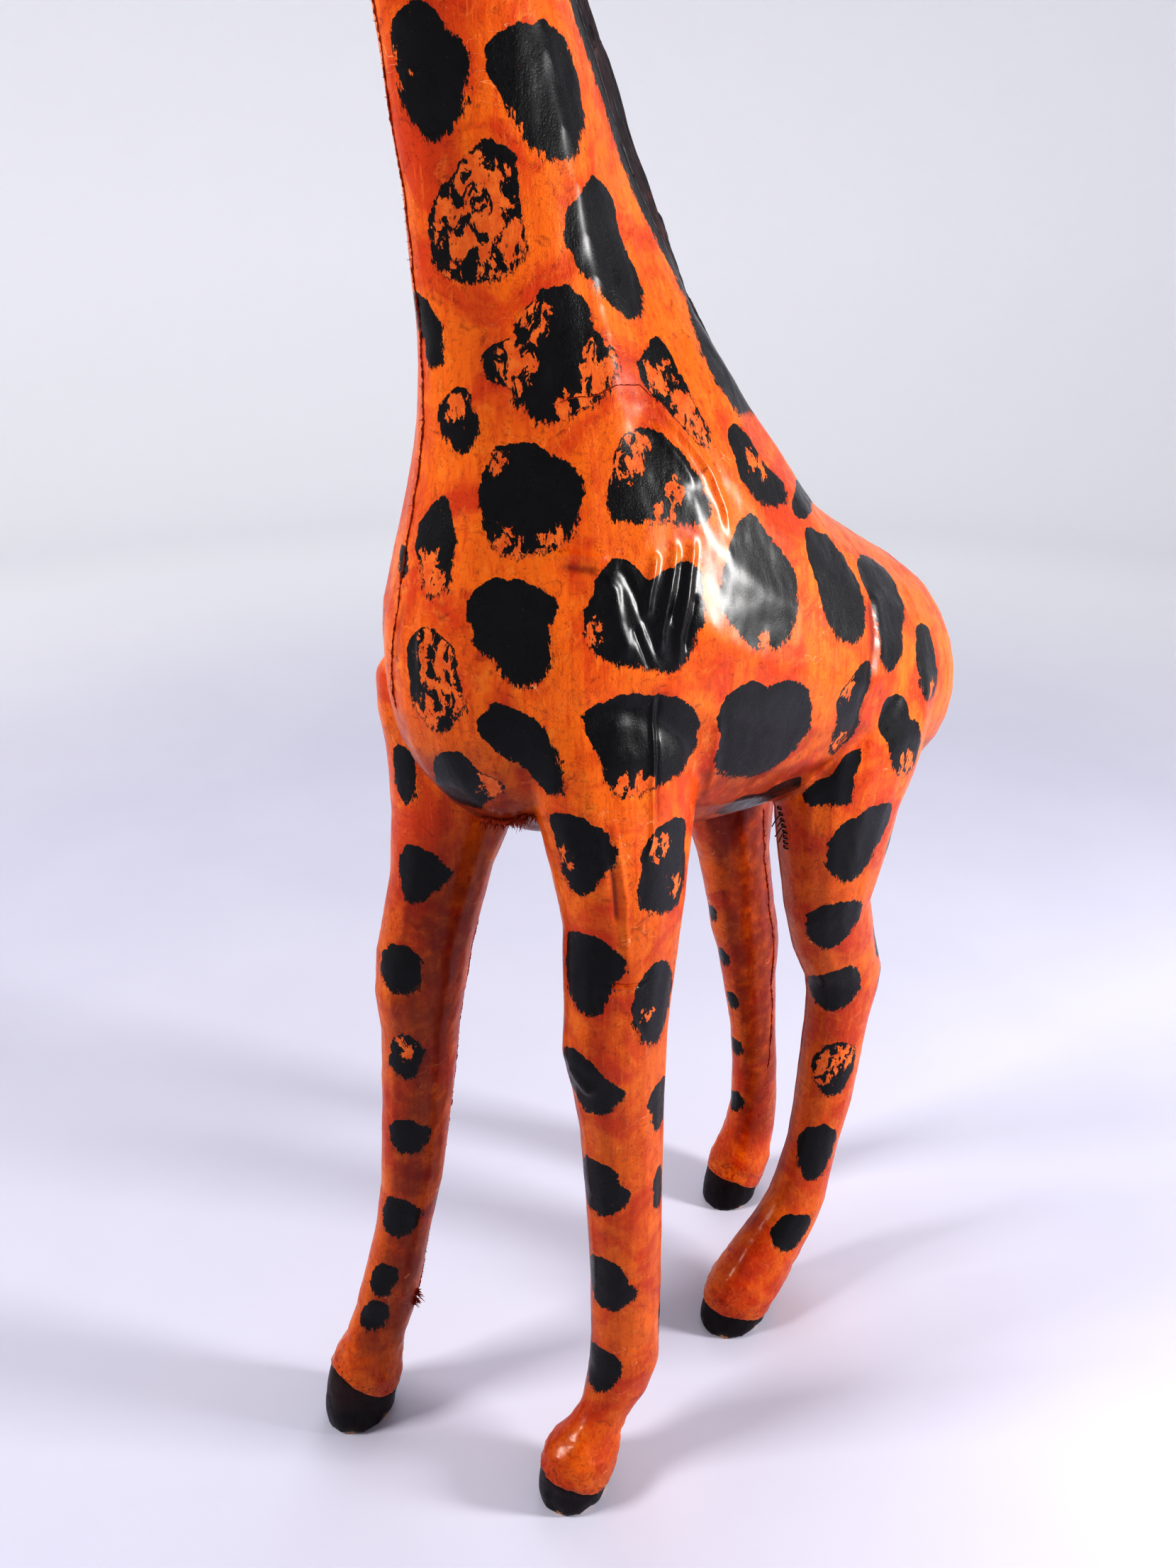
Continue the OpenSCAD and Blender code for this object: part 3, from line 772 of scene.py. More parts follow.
# A spot is painted round a point of the skin, given as x, y, z in millimetres. The reaches of
# its outline from that point follow, in millimetres, starting at the right and going up and
# round as someone facing the skin sees it. Last come its worn places: right, up, size.
NECK_SPOTS = [
    ((15, -122, 709), (14, 14, 13, 19, 20, 17, 14, 14, 18, 22, 18, 15), (-12, 0, 3)),
    ((31, -85, 704), (23, 22, 22, 20, 21, 23, 19, 15, 16, 22, 25, 25)),
    ((27, -95, 748), (12, 13, 16, 14, 12, 12, 10, 12)),
    ((23, -109, 662), (16, 17, 25, 24, 16, 17, 19, 22, 25, 22, 22, 19),
     (-4, 13, 6), (-3, 3, 9), (6, 8, 6), (-10, -3, 7), (8, -13, 9), (-13, -17, 3), (12, -3, 4)),
    ((37, -58, 652), (16, 16, 22, 25, 22, 22, 18, 16, 16, 21, 30, 25)),
    ((1, -118, 623), (7, 7, 11, 17, 11, 6, 14, 10)),
    ((37, -86, 613), (28, 20, 26, 26, 21, 19, 28, 22, 23, 24, 22, 25),
     (-15, -1, 7), (-7, 16, 5), (20, -4, 8), (8, -19, 7)),
    ((49, -34, 600), (9, 9, 12, 21, 18, 19, 12, 10, 10, 14, 28, 13),
     (-6, 5, 6), (5, -9, 6), (10, -19, 5)),
    ((14, -115, 591), (8, 7, 10, 13, 11, 10, 10, 10, 11, 13, 11, 10), (-2, 4, 4)),
]
TRUNK_SPOTS = [
    ((40, -102, 562), (21, 23, 19, 22, 23, 21, 20, 21, 24, 21, 22, 21),
     (-9, -20, 5), (0, -20, 5), (8, -18, 5), (-13, 16, 3)),
    ((59, -52, 565), (22, 19, 19, 22, 23, 20, 22, 24, 16, 16, 21, 30),
     (-8, 14, 7), (-15, 8, 4), (9, -5, 4), (3, -13, 4)),
    ((12, -128, 542), (9, 10, 13, 20, 16, 14, 13, 12, 14, 20, 16, 10), (-3, -7, 5), (2, -15, 5)),
    ((19, -137, 490), (12, 12, 17, 21, 21, 17, 14, 16, 21, 24, 19, 15),
     (1, 11, 8), (2, -1, 8), (-5, -15, 7), (8, -7, 5)),
    ((44, -114, 513), (14, 20, 19, 20, 22, 21, 17, 17, 16, 24, 24, 17)),
    ((68, -64, 513), (30, 32, 21, 17, 28, 27, 28, 25, 22, 22, 29, 29), (-23, -3, 4)),
    ((73, -1, 515), (28, 24, 24, 32, 28, 24, 25, 22, 23, 28, 33, 30), (2, -25, 4)),
    ((57, 11, 562), (12, 9, 11, 18, 24, 17, 15, 12, 13, 15, 20, 26), (-1, 5, 3), (5, 0, 3)),
    ((68, 60, 504), (24, 22, 24, 27, 33, 20, 15, 17, 20, 27, 33, 29)),
    ((64, 110, 483), (24, 28, 28, 30, 30, 20, 17, 20, 31, 31, 21, 22)),
    ((66, 149, 445), (13, 18, 22, 17, 12, 15, 22, 24), (4, -19, 5)),
    ((75, 121, 412), (18, 13, 12, 21, 28, 22, 13, 12, 15, 23, 30, 26), (7, -19, 7)),
    ((74, 7, 447), (34, 30, 25, 21, 30, 34, 26, 30, 28, 30, 35, 36)),
    ((69, -66, 460), (33, 26, 21, 20, 24, 30, 22, 22, 27, 25, 27, 36), (-10, -21, 5), (-1, -21, 5)),
    ((75, 72, 441), (12, 17, 25, 19, 16, 14, 11, 11, 17, 30, 22, 12), (0, -21, 4), (-5, 11, 4)),
    ((65, 80, 393), (11, 13, 22, 11, 6, 7, 12, 20, 15, 13, 15, 13)),
    ((49, 37, 391), (27, 25, 18, 12, 13, 27, 28, 18, 14, 14, 16, 22)),
    ((45, -111, 462), (13, 11, 13, 16, 22, 22, 14, 10, 9, 13, 27, 18)),
    ((21, -125, 441), (17, 11, 11, 17, 17, 16, 17, 20, 26, 22, 16, 16), (11, -1, 6)),
    ((-8, -131, 533), (3, 4, 6, 8, 4, 4, 7, 6)),
    ((42, 60, 541), (32, 15, 9, 9, 10, 15, 30, 13, 7, 6, 6, 12)),
]
LEG_SPOTS = [
    ((60, -92, 411), (15, 13, 14, 17, 23, 15, 12, 12, 18, 25, 16, 16), (-7, -5, 4)),
    ((73, -51, 396), (13, 15, 22, 22, 22, 19, 16, 22, 25, 26, 25, 18), (-7, 11, 5), (5, -14, 4)),
    ((71, 96, 355), (24, 30, 24, 18, 16, 17, 17, 19, 24, 26, 22, 19)),
    ((60, -86, 345), (16, 16, 17, 20, 22, 18, 16, 17, 21, 24, 17, 12)),
    ((73, -57, 321), (16, 17, 20, 24, 20, 16, 15, 15, 19, 24, 20, 16), (-5, -3, 2)),
    ((62, -87, 280), (12, 9, 10, 14, 24, 20, 18, 18, 17, 19, 17, 18)),
    ((70, -49, 255), (12, 13, 15, 13, 8, 10, 17, 15)),
    ((62, -80, 211), (13, 9, 13, 18, 19, 18, 17, 18, 20, 19, 16, 16)),
    ((71, -49, 200), (6, 7, 13, 8, 5, 7, 15, 8)),
    ((65, -78, 144), (12, 10, 14, 18, 19, 17, 16, 16, 18, 18, 17, 18)),
    ((63, -82, 82), (13, 14, 15, 15, 16, 17, 16, 11)),
    ((70, -42, 100), (4, 6, 14, 7, 4, 6, 12, 6)),
    ((-35, -116, 368), (15, 13, 13, 15, 16, 14, 13, 14, 18, 15, 12, 13)),
    ((-39, -129, 315), (11, 12, 14, 14, 13, 14, 15, 13)),
    ((-41, -129, 260), (10, 11, 15, 11, 9, 13, 15, 9), (0, 4, 4)),
    ((-42, -131, 206), (12, 9, 11, 12, 11, 12, 13, 13)),
    ((-46, -138, 149), (13, 11, 13, 13, 11, 14, 15, 13)),
    ((-49, -151, 106), (8, 10, 11, 8, 8, 11, 11, 8)),
    ((-51, -158, 82), (8, 10, 11, 8, 8, 11, 10, 9)),
    ((-41, -118, 420), (6, 9, 17, 9, 7, 9, 15, 8)),
    ((62, 94, 301), (20, 19, 16, 14, 14, 16, 16, 17, 19, 21, 18, 18)),
    ((55, 111, 245), (17, 17, 19, 17, 16, 16, 17, 18, 20, 20, 18, 18)),
    ((55, 119, 182), (16, 18, 19, 15, 14, 15, 23, 18), (0, 4, 9), (9, 9, 6), (-6, -7, 5)),
    ((53, 112, 118), (15, 18, 19, 15, 12, 15, 24, 16)),
    ((55, 91, 63), (18, 13, 11, 11, 14, 14, 13, 14)),
    ((60, 150, 270), (7, 9, 16, 9, 5, 8, 15, 9)),
    ((60, 155, 232), (6, 8, 14, 8, 5, 7, 13, 8)),
    ((-48, 111, 250), (6, 8, 6, 6, 7, 7, 6, 6)),
    ((-43, 120, 214), (5, 6, 9, 6, 6, 8, 8, 6)),
    ((-40, 129, 177), (5, 6, 8, 7, 6, 7, 8, 6)),
    ((-41, 137, 133), (5, 6, 7, 7, 6, 8, 8, 6)),
    ((-41, 140, 83), (7, 8, 9, 8, 8, 10, 9, 7)),
]
SPOTS = NECK_SPOTS + TRUNK_SPOTS + LEG_SPOTS


def spot_frame(tree, at):
    """The point of the skin nearest to a place, with the directions out, right and up there."""
    point, out, _, _ = tree.find_nearest(Vector(at))
    up = Vector((0, 0, 1)) - out * out.z
    if up.length < 0.2:
        up = Vector((0, 1, 0)) - out * out.y
    up.normalize()
    return np.array(point), np.array(out), np.array(up.cross(out)), np.array(up)


def spot_reach(reaches, angle):
    """The outline's distance at each angle, as a smooth closed curve through the reaches."""
    r = np.array(reaches, float)
    n = len(r)
    place = (angle / (2 * math.pi) * n) % n
    i = np.floor(place).astype(int)
    t = place - i
    a, b, c, d = (r[(i + k) % n] for k in (-1, 0, 1, 2))
    return b + 0.5 * t * (c - a + t * (2 * a - 5 * b + 4 * c - d + t * (3 * (b - c) + d - a)))


def paint_spots(skin, spots):
    """Each point's distance outside the nearest spot's edge, and how ragged and worn that is."""
    co, normals = skin.co, skin.values["normal"]
    tree = skin.bvh()
    spot = np.full(len(co), 20.0)
    ragged, wear = np.full(len(co), 2.0), np.full(len(co), UNWORN)
    for at, reaches, *worn in spots:
        centre, out, right, up = spot_frame(tree, at)
        rel = co - centre
        near = np.flatnonzero(
            (np.linalg.norm(rel, axis=1) < max(reaches) + 25) & (normals @ out > -0.1)
        )
        rel = rel[near]
        u, v = rel @ right, rel @ up
        # Where the skin curves away, its own length counts and not the flat one.
        length = np.linalg.norm(rel, axis=1)
        reach = spot_reach(reaches, np.arctan2(v, u))
        outside = length - reach
        closer = outside < spot[near]
        pick = near[closer]
        spot[pick] = outside[closer]
        low = smoothstep(0.2, -0.8, v[closer] / reach[closer])
        side = smoothstep(0.3, 0.9, u[closer] / reach[closer])
        ragged[pick] = 2.0 + 11.0 * low + 4.0 * side
        worst = np.full(len(near), UNWORN)
        for right_by, up_by, size in worn:
            worst = np.maximum(worst, size - np.hypot(u - right_by, (v - up_by) * 0.8))
        wear[pick] = worst[closer]
    band = np.minimum(mane_band(co, tree), muzzle_lines(co)[1] - 1.4)
    inside = band < spot
    spot[inside], ragged[inside], wear[inside] = band[inside], 14.0, UNWORN
    skin.values.update(spot=spot, ragged=ragged, wear=wear)


def mane_band(co, tree):
    """Distance outside the dark band that is painted along the ridge of the neck."""
    z = co[:, 2]
    away = from_path(co, resampled(back_line(tree, 556, 858, 6.0), 6.0))[0]
    # It spreads over the withers and ends there.
    half = 22 + 3 * smoothstep(600, 680, z) + 33 * smoothstep(645, 592, z)
    band = np.maximum(away - half, 570 + 0.33 * np.abs(co[:, 0]) - z)
    return np.where((z > 545) & (z < 875), band, 20.0)


CAMERA_AT = np.array((413.2, -393.5, 660.0))
VIEW_TOP = 742  # above this height the view crops the figure


def unseen_spots(skin):
    """Spots for the sides that the main view doesn't show, spread like those that it does."""
    draw = np.random.default_rng(41)
    co, normals = skin.co, skin.values["normal"]
    centres = [np.array(at, float) for at, *_ in SPOTS]
    sizes = [float(np.mean(reaches)) for _, reaches, *_ in SPOTS]
    toward = CAMERA_AT - co
    seen = np.einsum("ij,ij->i", normals, toward) / np.linalg.norm(toward, axis=1)
    free = (seen < -0.42) | (co[:, 2] > VIEW_TOP + 16)
    free &= (co[:, 2] > 62) & (socket(co) > 11)
    band = mane_band(co, skin.bvh())
    muzzle = co[:, 1] < -205
    under = (normals[:, 2] < -0.75) & (co[:, 2] < 420)
    free &= ~muzzle & ~under
    made = []
    for i in draw.permutation(np.flatnonzero(free))[:9000]:
        at = co[i]
        z = at[2]
        if z > 860:
            size = draw.uniform(5, 9)
        elif z > 600:
            size = draw.uniform(13, 19)
        elif z > 400:
            size = draw.uniform(19, 27)
        else:
            size = draw.uniform(9, 15) + 5 * float(smoothstep(250, 380, z))
        if band[i] < size * 0.55:
            continue
        gaps = np.linalg.norm(np.array(centres) - at, axis=1) - np.array(sizes)
        if gaps.min() < size + (7 if z > 380 else 4):
            continue
        count = 8 if size < 14 else 12
        angles = np.arange(count) * 2 * math.pi / count
        tilt = draw.uniform(0, math.pi)
        reaches = size * (1 + 0.16 * np.cos(2 * (angles - tilt)) + draw.uniform(-0.17, 0.17, count))
        worn = []
        if size > 15 and draw.random() < 0.45:
            for _ in range(draw.integers(1, 4)):
                spread = draw.uniform(-0.6, 0.6, 2) * size
                worn.append((spread[0], spread[1], draw.uniform(3, 6)))
        made.append((tuple(at), tuple(reaches), *worn))
        centres.append(at)
        sizes.append(size)
    return made


def shading(skin):
    """Painted shade: darker under the belly, inside the legs, in creases, in the mouth and nostrils
    and in the eyes' sunk openings. The legs are also darker all over.
    """
    co, normals = skin.co, skin.values["normal"]
    z = co[:, 2]
    # Painted shade where the belly faces down.
    under = smoothstep(0.05, -0.75, normals[:, 2])
    under *= smoothstep(330, 400, z) * smoothstep(560, 470, z)
    # Painted shade on the legs' inner sides.
    inner = smoothstep(0.25, -0.7, normals[:, 0] * np.sign(co[:, 0])) * smoothstep(420, 350, z)
    dark = np.maximum(0.95 * under, 0.8 * inner * smoothstep(30, 70, z))
    # The legs are darker all over below the belly.
    dark = np.maximum(dark, 0.33 * smoothstep(410, 340, z))
    # Painted shade in the creases.
    for path, width, height in FOLDS + SLITS:
        if height < 0:
            away, share = from_path(co, path)
            ends = smoothstep(0, 0.15, share) * smoothstep(1, 0.85, share)
            dark = np.maximum(dark, 0.75 * ends * bell(away, width * 1.1))
    # Painted shade in the mouth's groove and in the nostrils.
    dark = np.maximum(dark, smoothstep(2.6, 0.8, np.minimum(*muzzle_lines(co))))
    # Painted shade in the eyes' sunk openings.
    away = socket(co)
    return np.clip(np.maximum(dark, smoothstep(6.5, 4.2, away)), 0, 1)


# ---------------------------------------------------------------- cutting the skin into pieces


def leather_parts(skin):
    """The skin's pieces, by name: cut above each leg, at the neck's base and under the head."""
    parts = {}
    co = skin.co
    leg_top = 360 - 14 * smoothstep(0, 40, co[:, 1])
    body, legs = skin.split(co[:, 2] - leg_top)
    middle = legs.co[legs.tri].mean(axis=1)
    for name in LEGS:
        front, left = name.startswith("front"), name.endswith("left")
        parts[name] = legs.select(((middle[:, 1] < 0) == front) & ((middle[:, 0] > 0) == left))
    head, rest = body.split(head_level(body.co))
    neck, torso = rest.split(neck_level(rest.co))
    # The trunk's leather is two pieces, which meet round the barrel behind the shoulders.
    rump, torso = torso.split(torso.co[:, 1] - 22 - 6 * waves(torso.co, 60, seed=1.1))
    parts.update(head=head, neck=neck, torso=torso, rump=rump)
    return parts


def head_level(co):
    """Height above the joint between the neck and the skull."""
    return (co[:, 2] - 868) * 0.986 + (co[:, 1] + 137.5) * 0.168


def neck_level(co):
    """Height above the lap where the neck's leather lies over the body's."""
    return (co[:, 2] - 567) * 0.77 - (co[:, 1] + 64) * 0.635


# Where bits are broken from the edge of each sole: x, y and size.
CHIPS = {
    "front_left": ((79, -88, 9), (76, -104, 8), (70, -119, 5)),
    "front_right": ((-43, -158, 8), (-50, -182, 6)),
    "hind_left": ((50, 36, 7), (59, 60, 6), (22, 48, 6)),
    "hind_right": ((-24, 132, 5), (-56, 150, 7)),
}


def hoof_piece(leg, skin, material):
    """The carved hoof: a wall that flares a little, a flat sole and a top under the leather."""
    co, tri = skin.co.copy(), skin.tri
    over = over_hem(leg, co)
    normals = skin.values["normal"]
    flat = normals * (1, 1, 0)
    push = 0.5 * waves(co, 9, (1, 1, 3), seed=4.4) * smoothstep(1, 6, co[:, 2])
    push += 0.25 * waves(co, 2.2, (1, 1, 6), seed=7.7) * smoothstep(1, 6, co[:, 2])
    # Bits are broken from the edge of the sole.
    broken = np.zeros(len(co))
    for x, y, size in CHIPS[leg]:
        away = np.hypot(co[:, 0] - x, co[:, 1] - y)
        broken = np.maximum(broken, smoothstep(size, size * 0.3, away))
    broken *= smoothstep(9, 3, co[:, 2] + 2.5 * waves(co, 3, seed=1.2))
    push -= 0.8 * broken * smoothstep(0.3, 0.7, np.linalg.norm(flat, axis=1))
    push -= 2.0 * smoothstep(-0.2, 0.9, over)
    co += push[:, None] * flat
    edge = smoothstep(3.0, 0.0, co[:, 2]) * np.linalg.norm(flat, axis=1)
    co -= (0.9 * edge)[:, None] * flat
    co[:, 2] = np.maximum(co[:, 2], 0.0)
    chip = 0.62 * broken + 0.4 * smoothstep(2.2, 0.5, co[:, 2]) - 0.05
    rim = rim_of(tri)
    middle = co[np.unique(rim)].mean(axis=0)
    values = {"chip": chip, "rise": co[:, 2]}
    values = {k: np.append(v, v[rim[0, 0]]) for k, v in values.items()}
    cap = [[b, a, len(co)] for a, b in rim.tolist()]
    return make_piece(
        f"{leg}_hoof_painted", np.vstack([co, middle]), tri.tolist() + cap, material,
        [f"{leg}_hoof"], values,
    )


# ---------------------------------------------------------------- strips, tubes and strands


def closed_grid(top, bottom):
    """One closed surface from a grid of points and the grid under it, joined round the border."""
    rows, columns = top.shape[:2]
    count = rows * columns
    co = np.vstack([top.reshape(-1, 3), bottom.reshape(-1, 3)])
    faces = []
    for i in range(rows - 1):
        for j in range(columns - 1):
            a = i * columns + j
            quad = [a, a + 1, a + columns + 1, a + columns]
            faces += [quad, [n + count for n in reversed(quad)]]
    border = list(range(columns))
    border += [i * columns + columns - 1 for i in range(1, rows)]
    border += [(rows - 1) * columns + j for j in range(columns - 2, -1, -1)]
    border += [i * columns for i in range(rows - 2, 0, -1)]
    for a, b in zip(border, border[1:] + border[:1]):
        faces.append([b, a, a + count, b + count])
    return co, faces


def ring_faces(rings, sides, closed=False):
    """The quads between rings that have a number of points each."""
    faces = []
    for i in range(rings if closed else rings - 1):
        low, high = i * sides, (i + 1) % rings * sides
        for n in range(sides):
            m = (n + 1) % sides
            faces.append([low + n, low + m, high + m, high + n])
    return faces


def tube(path, radii, sides):
    """A tapered closed tube along a line of points."""
    path = np.asarray(path, float)
    along = unit(np.gradient(path, axis=0))
    co, across = [], unit(np.cross(along[0], (0.31, 0.52, 0.79)))
    for p, d, r in zip(path, along, radii):
        across = unit(across - d * (across @ d))
        other = np.cross(d, across)
        for n in range(sides):
            a = 2 * math.pi * n / sides
            co.append(p + r * (math.cos(a) * across + math.sin(a) * other))
    ends = [list(range(sides - 1, -1, -1)), list(range(len(co) - sides, len(co)))]
    return np.array(co), ring_faces(len(path), sides) + ends


def on_skin(tree, at):
    """The skin's nearest point to a place and its normal there."""
    place, out, _, _ = tree.find_nearest(Vector(at))
    return np.array(place), np.array(out)


def resampled(path, step):
    """Points at even steps along a line of points."""
    path = np.array(path, float)
    run = run_of(path)
    places = np.linspace(0, run[-1], max(int(run[-1] / step), 2) + 1)
    return np.stack([np.interp(places, run, path[:, k]) for k in range(3)], axis=1)


def torn_edge(tree, path, draw, height=1.0, width=0.9, gap=0.5, sides=(-1, 1)):
    """Ragged lips of torn leather that stand along a line on the skin."""
    parts = []
    found = [on_skin(tree, p) for p in resampled(path, 0.8)]
    points, outs = (np.array(column) for column in zip(*found))
    along = unit(np.gradient(points, axis=0))
    across = np.cross(outs, along)
    offset = 1.2 * waves(points, 1 / 0.09)[:, None]
    place = np.arange(len(points))
    ends = np.minimum(1, np.minimum(place, place[::-1]) / 5)
    lean = 0.5 + 0.5 * waves(points, 1 / 0.2, seed=3)
    for side in sides:
        rough = 0.75 + 0.9 * waves(points, 1 / 0.45, seed=7 * side)
        rough += draw.uniform(-0.35, 0.35, len(points))
        tall = height * np.clip(rough, 0.12, 2.2) * ends
        root = points + across * (side * gap / 2 + offset)
        foot = root + across * side * width - outs * 0.4
        tip = root + outs * tall[:, None] + across * (side * lean * tall)[:, None]
        inner = root - outs * 0.4
        top = np.stack([inner, tip - across * side * 0.12], axis=1)
        low = np.stack([foot, tip + across * side * 0.12 - outs * 0.1], axis=1)
        if side < 0:
            top, low = low, top
        parts.append(closed_grid(top, low))
    return parts


def fibres(tree, path, draw, count, length, radius=0.14, droop=0.0):
    """Loose threads of torn leather that curl away from a line on the skin."""
    parts = []
    line = resampled(path, 0.8)
    for _ in range(count):
        base, out = on_skin(tree, line[draw.integers(len(line))] + draw.uniform(-0.7, 0.7, 3))
        heading = unit(out + draw.uniform(-0.8, 0.8, 3) + np.array((0, 0, -droop)))
        bend = draw.uniform(-0.8, 0.8, 3) + np.array((0, 0, -droop))
        reach = length * draw.uniform(0.4, 1.3)
        steps = np.linspace(0, 1, 7)[:, None]
        curve = base - out * 0.4 + reach * (steps * heading + 0.5 * steps**2 * bend)
        radii = radius * draw.uniform(0.7, 1.6) * (1.05 - steps[:, 0]) ** 0.6
        parts.append(tube(curve, radii, 5))
    return parts


def torn_piece(name, parts, material):
    co, faces = joined(parts)
    return make_piece(name, co, faces, material)


# ---------------------------------------------------------------- mane, tail and thread


def back_line(tree, low, high, step):
    """Points along the ridge at the back of the neck, from below upward."""
    points = []
    for z in np.arange(low, high, step):
        hit = tree.ray_cast(Vector((0, 400, z)), Vector((0, -1, 0)))[0]
        points.append(np.array(hit))
    return np.array(points)


def mane_piece(tree, material):
    """A raised strip of overlapping locks, folded over the ridge of the neck."""
    line = resampled(back_line(tree, 552, 852, 3.0), 1.4)
    columns = 49
    count = len(line)
    run = run_of(line)
    along = unit(np.gradient(line, axis=0))
    outward = np.cross(along, (1.0, 0, 0))
    top, low = np.zeros((count, columns, 3)), np.zeros((count, columns, 3))
    for i, centre in enumerate(line):
        left = run[-1] - run[i]
        taper = smoothstep(0, 60, run[i]) * smoothstep(0, 14, left)
        half = 4 + 13 * smoothstep(0, 50, run[i]) * smoothstep(-20, 26, left)
        crest = 7.5 * smoothstep(545, 590, centre[2]) * smoothstep(656, 624, centre[2])
        sharp = smoothstep(570, 640, centre[2])
        drop, wide = 0.35 + 0.49 * sharp, 0.94 - 0.4 * sharp
        for j in range(columns):
            v = 2 * j / (columns - 1) - 1
            down = np.array((math.copysign(wide, v), 0, 0)) - drop * outward[i]
            aim = centre + abs(v) * half * down
            place, out = on_skin(tree, aim)
            # Each lock starts high and thins out as it runs down the neck, one over the next.
            bend = noise.noise(Vector((v * 2.1, run[i] / 60, 2.0)))
            lock = ((run[i] + 24 * bend + 13 * math.sin(5 * v)) / 52) % 1.0
            step = lock * smoothstep(1.0, 0.93, lock)
            ridge = 0.8 * noise.noise(Vector((v * 7.5, run[i] / 34, 5.0)))
            ridge += 0.4 * noise.noise(Vector((v * 18, run[i] / 22, 9.0)))
            rise = (1.1 + step + ridge) * (1 - abs(v) ** 3) ** 0.7 * (0.15 + 0.85 * taper)
            top[i, j] = place + out * max(rise, 0.1)
            top[i, j] += outward[i] * crest * max(0.0, 1 - abs(v) / 0.8)
            low[i, j] = place - out * 0.9
    co, faces = closed_grid(top[:, ::-1], low[:, ::-1])
    return make_piece("mane_strip", co, faces, material, ["mane"])


def tail_pieces(leather, hair):
    """A thin leather tail that lies down the rump, with a tuft of dark hair."""
    path = resampled((
        (1, 229, 408), (1, 233, 404), (0, 235.5, 396), (-2, 236.5, 384), (-4, 235, 374),
        (-6, 233.5, 366),
    ), 0.9)
    turn = np.arange(len(path))
    radii = 3.1 + 0.35 * np.sin(turn * 0.9) * smoothstep(0, 8, turn) - 0.6 * turn / len(turn)
    co, faces = tube(path, radii, 24)
    co += 0.25 * waves(co, 3, seed=2.5)[:, None]
    values = bare_leather(len(co), 0.35)
    make_piece("tail_leather", co, faces, leather, ["tail"], values)
    draw = np.random.default_rng(7)
    strands = [tube(path[-7:], np.linspace(3.0, 3.5, 7), 14)]
    for _ in range(150):
        angle, spread = draw.uniform(0, 2 * math.pi), draw.uniform(0.2, 1)
        start = path[-5] + np.array((math.cos(angle), 0.8 * math.sin(angle), 0)) * 2.6 * spread
        out = np.array((math.cos(angle), 0.6 * math.sin(angle), 0)) * draw.uniform(0.4, 2.4)
        length = draw.uniform(22, 33)
        steps = np.linspace(0, 1, 9)[:, None]
        swell = np.sin(steps * math.pi * 0.85)
        curl = draw.uniform(-1.5, 1.5, 3) * steps**2
        curve = start + steps * np.array((-3.5, -7.0, -length)) + out * swell + curl
        strands.append(tube(curve, 0.42 * (1.06 - steps[:, 0]) ** 0.5, 5))
    co, faces = joined(strands)
    make_piece("tail_tuft_hair", co, faces, hair, ["tail_tuft"])


def thread_stitches(tree, material):
    """Black thread that closes the leather at the top of the hind left leg, with cut ends."""
    draw = np.random.default_rng(19)
    parts = []
    seam = resampled(((36, 66, 371), (40, 69, 364), (42, 71, 357), (41, 72, 348)), 3.2)
    for p in seam:
        base, out = on_skin(tree, p)
        reach = unit(np.cross(out, (0, 0.2, 1.0)))
        start = base - reach * 2.2 - out * 0.5
        end = base + reach * 2.2 - out * 0.5 + np.array((0, 0, 0.8))
        t = np.linspace(0, 1, 9)[:, None]
        curve = start * (1 - t) + end * t + out * (1.5 * np.sin(math.pi * t))
        parts.append(tube(curve, np.full(9, 0.42), 7))
    for n in range(4):
        base, out = on_skin(tree, seam[n + 1])
        t = np.linspace(0, 1, 8)[:, None]
        fall = np.array((draw.uniform(-0.3, 0.2), -0.2, -1.0))
        curve = base + draw.uniform(3, 6) * (t * (0.7 * out) + t**2 * fall)
        parts.append(tube(curve, np.full(8, 0.36), 6))
    return torn_piece("groin_stitches", parts, material)


# ---------------------------------------------------------------- ears, horns and lids


def turned(*turns):
    """Turns in degrees round axes, one after the other, as one matrix."""
    matrix = Matrix.Identity(3)
    for degrees, axis in turns:
        matrix = matrix @ Matrix.Rotation(math.radians(degrees), 3, axis)
    return np.array(matrix)


def ear_piece(side, material):
    """A cupped leaf of leather, folded at its root, with its hollow to the front and the side."""
    rows, columns = 44, 25
    turn = turned((side * 62, "Y"), (12, "X"), (side * 25, "Z"))
    root = np.array((side * 19, -119.25, 903.0))
    front, back = np.zeros((rows, columns, 3)), np.zeros((rows, columns, 3))
    hollow = np.zeros((rows, columns))
    for i in range(rows):
        u = i / (rows - 1)
        half = 4.2 * (1 - u) + 13.5 * math.sin(math.pi * u**0.72) * (1 - 0.42 * u) * 0.74
        half = max(half * (1 - u**9), 0.25)
        for j in range(columns):
            v = 2 * j / (columns - 1) - 1
            curl = 4.4 * (1 - 0.7 * u) * v * v
            rib = 0.35 * math.cos(v * 9) * math.sin(math.pi * u)
            wave = 0.8 * noise.noise(Vector((v * 1.4, u * 3.1, side * 2.0)))
            rolled = half * v * (1 - 0.16 * v * v * (1 - u))
            middle = np.array((rolled, 1.4 - curl + wave, -3 + 41.5 * u))
            thick = 0.45 + 1.1 * (1 - u) * (1 - v * v)
            front[i, j] = root + turn @ (middle + (0, -thick + rib * 0.5, 0))
            back[i, j] = root + turn @ (middle + (0, thick, 0))
            hollow[i, j] = smoothstep(0.92, 0.55, abs(v))
            hollow[i, j] *= smoothstep(0.02, 0.2, u) * smoothstep(1.0, 0.8, u)
    co, faces = closed_grid(front, back)
    spot = np.concatenate([3.0 - 7.0 * hollow.ravel(), np.full(rows * columns, 12.0)])
    values = bare_leather(len(co), 0.15, spot, 5.0)
    name = f"{SIDES[side]}_ear"
    return make_piece(f"{name}_leather", co, faces, material, [name], values)


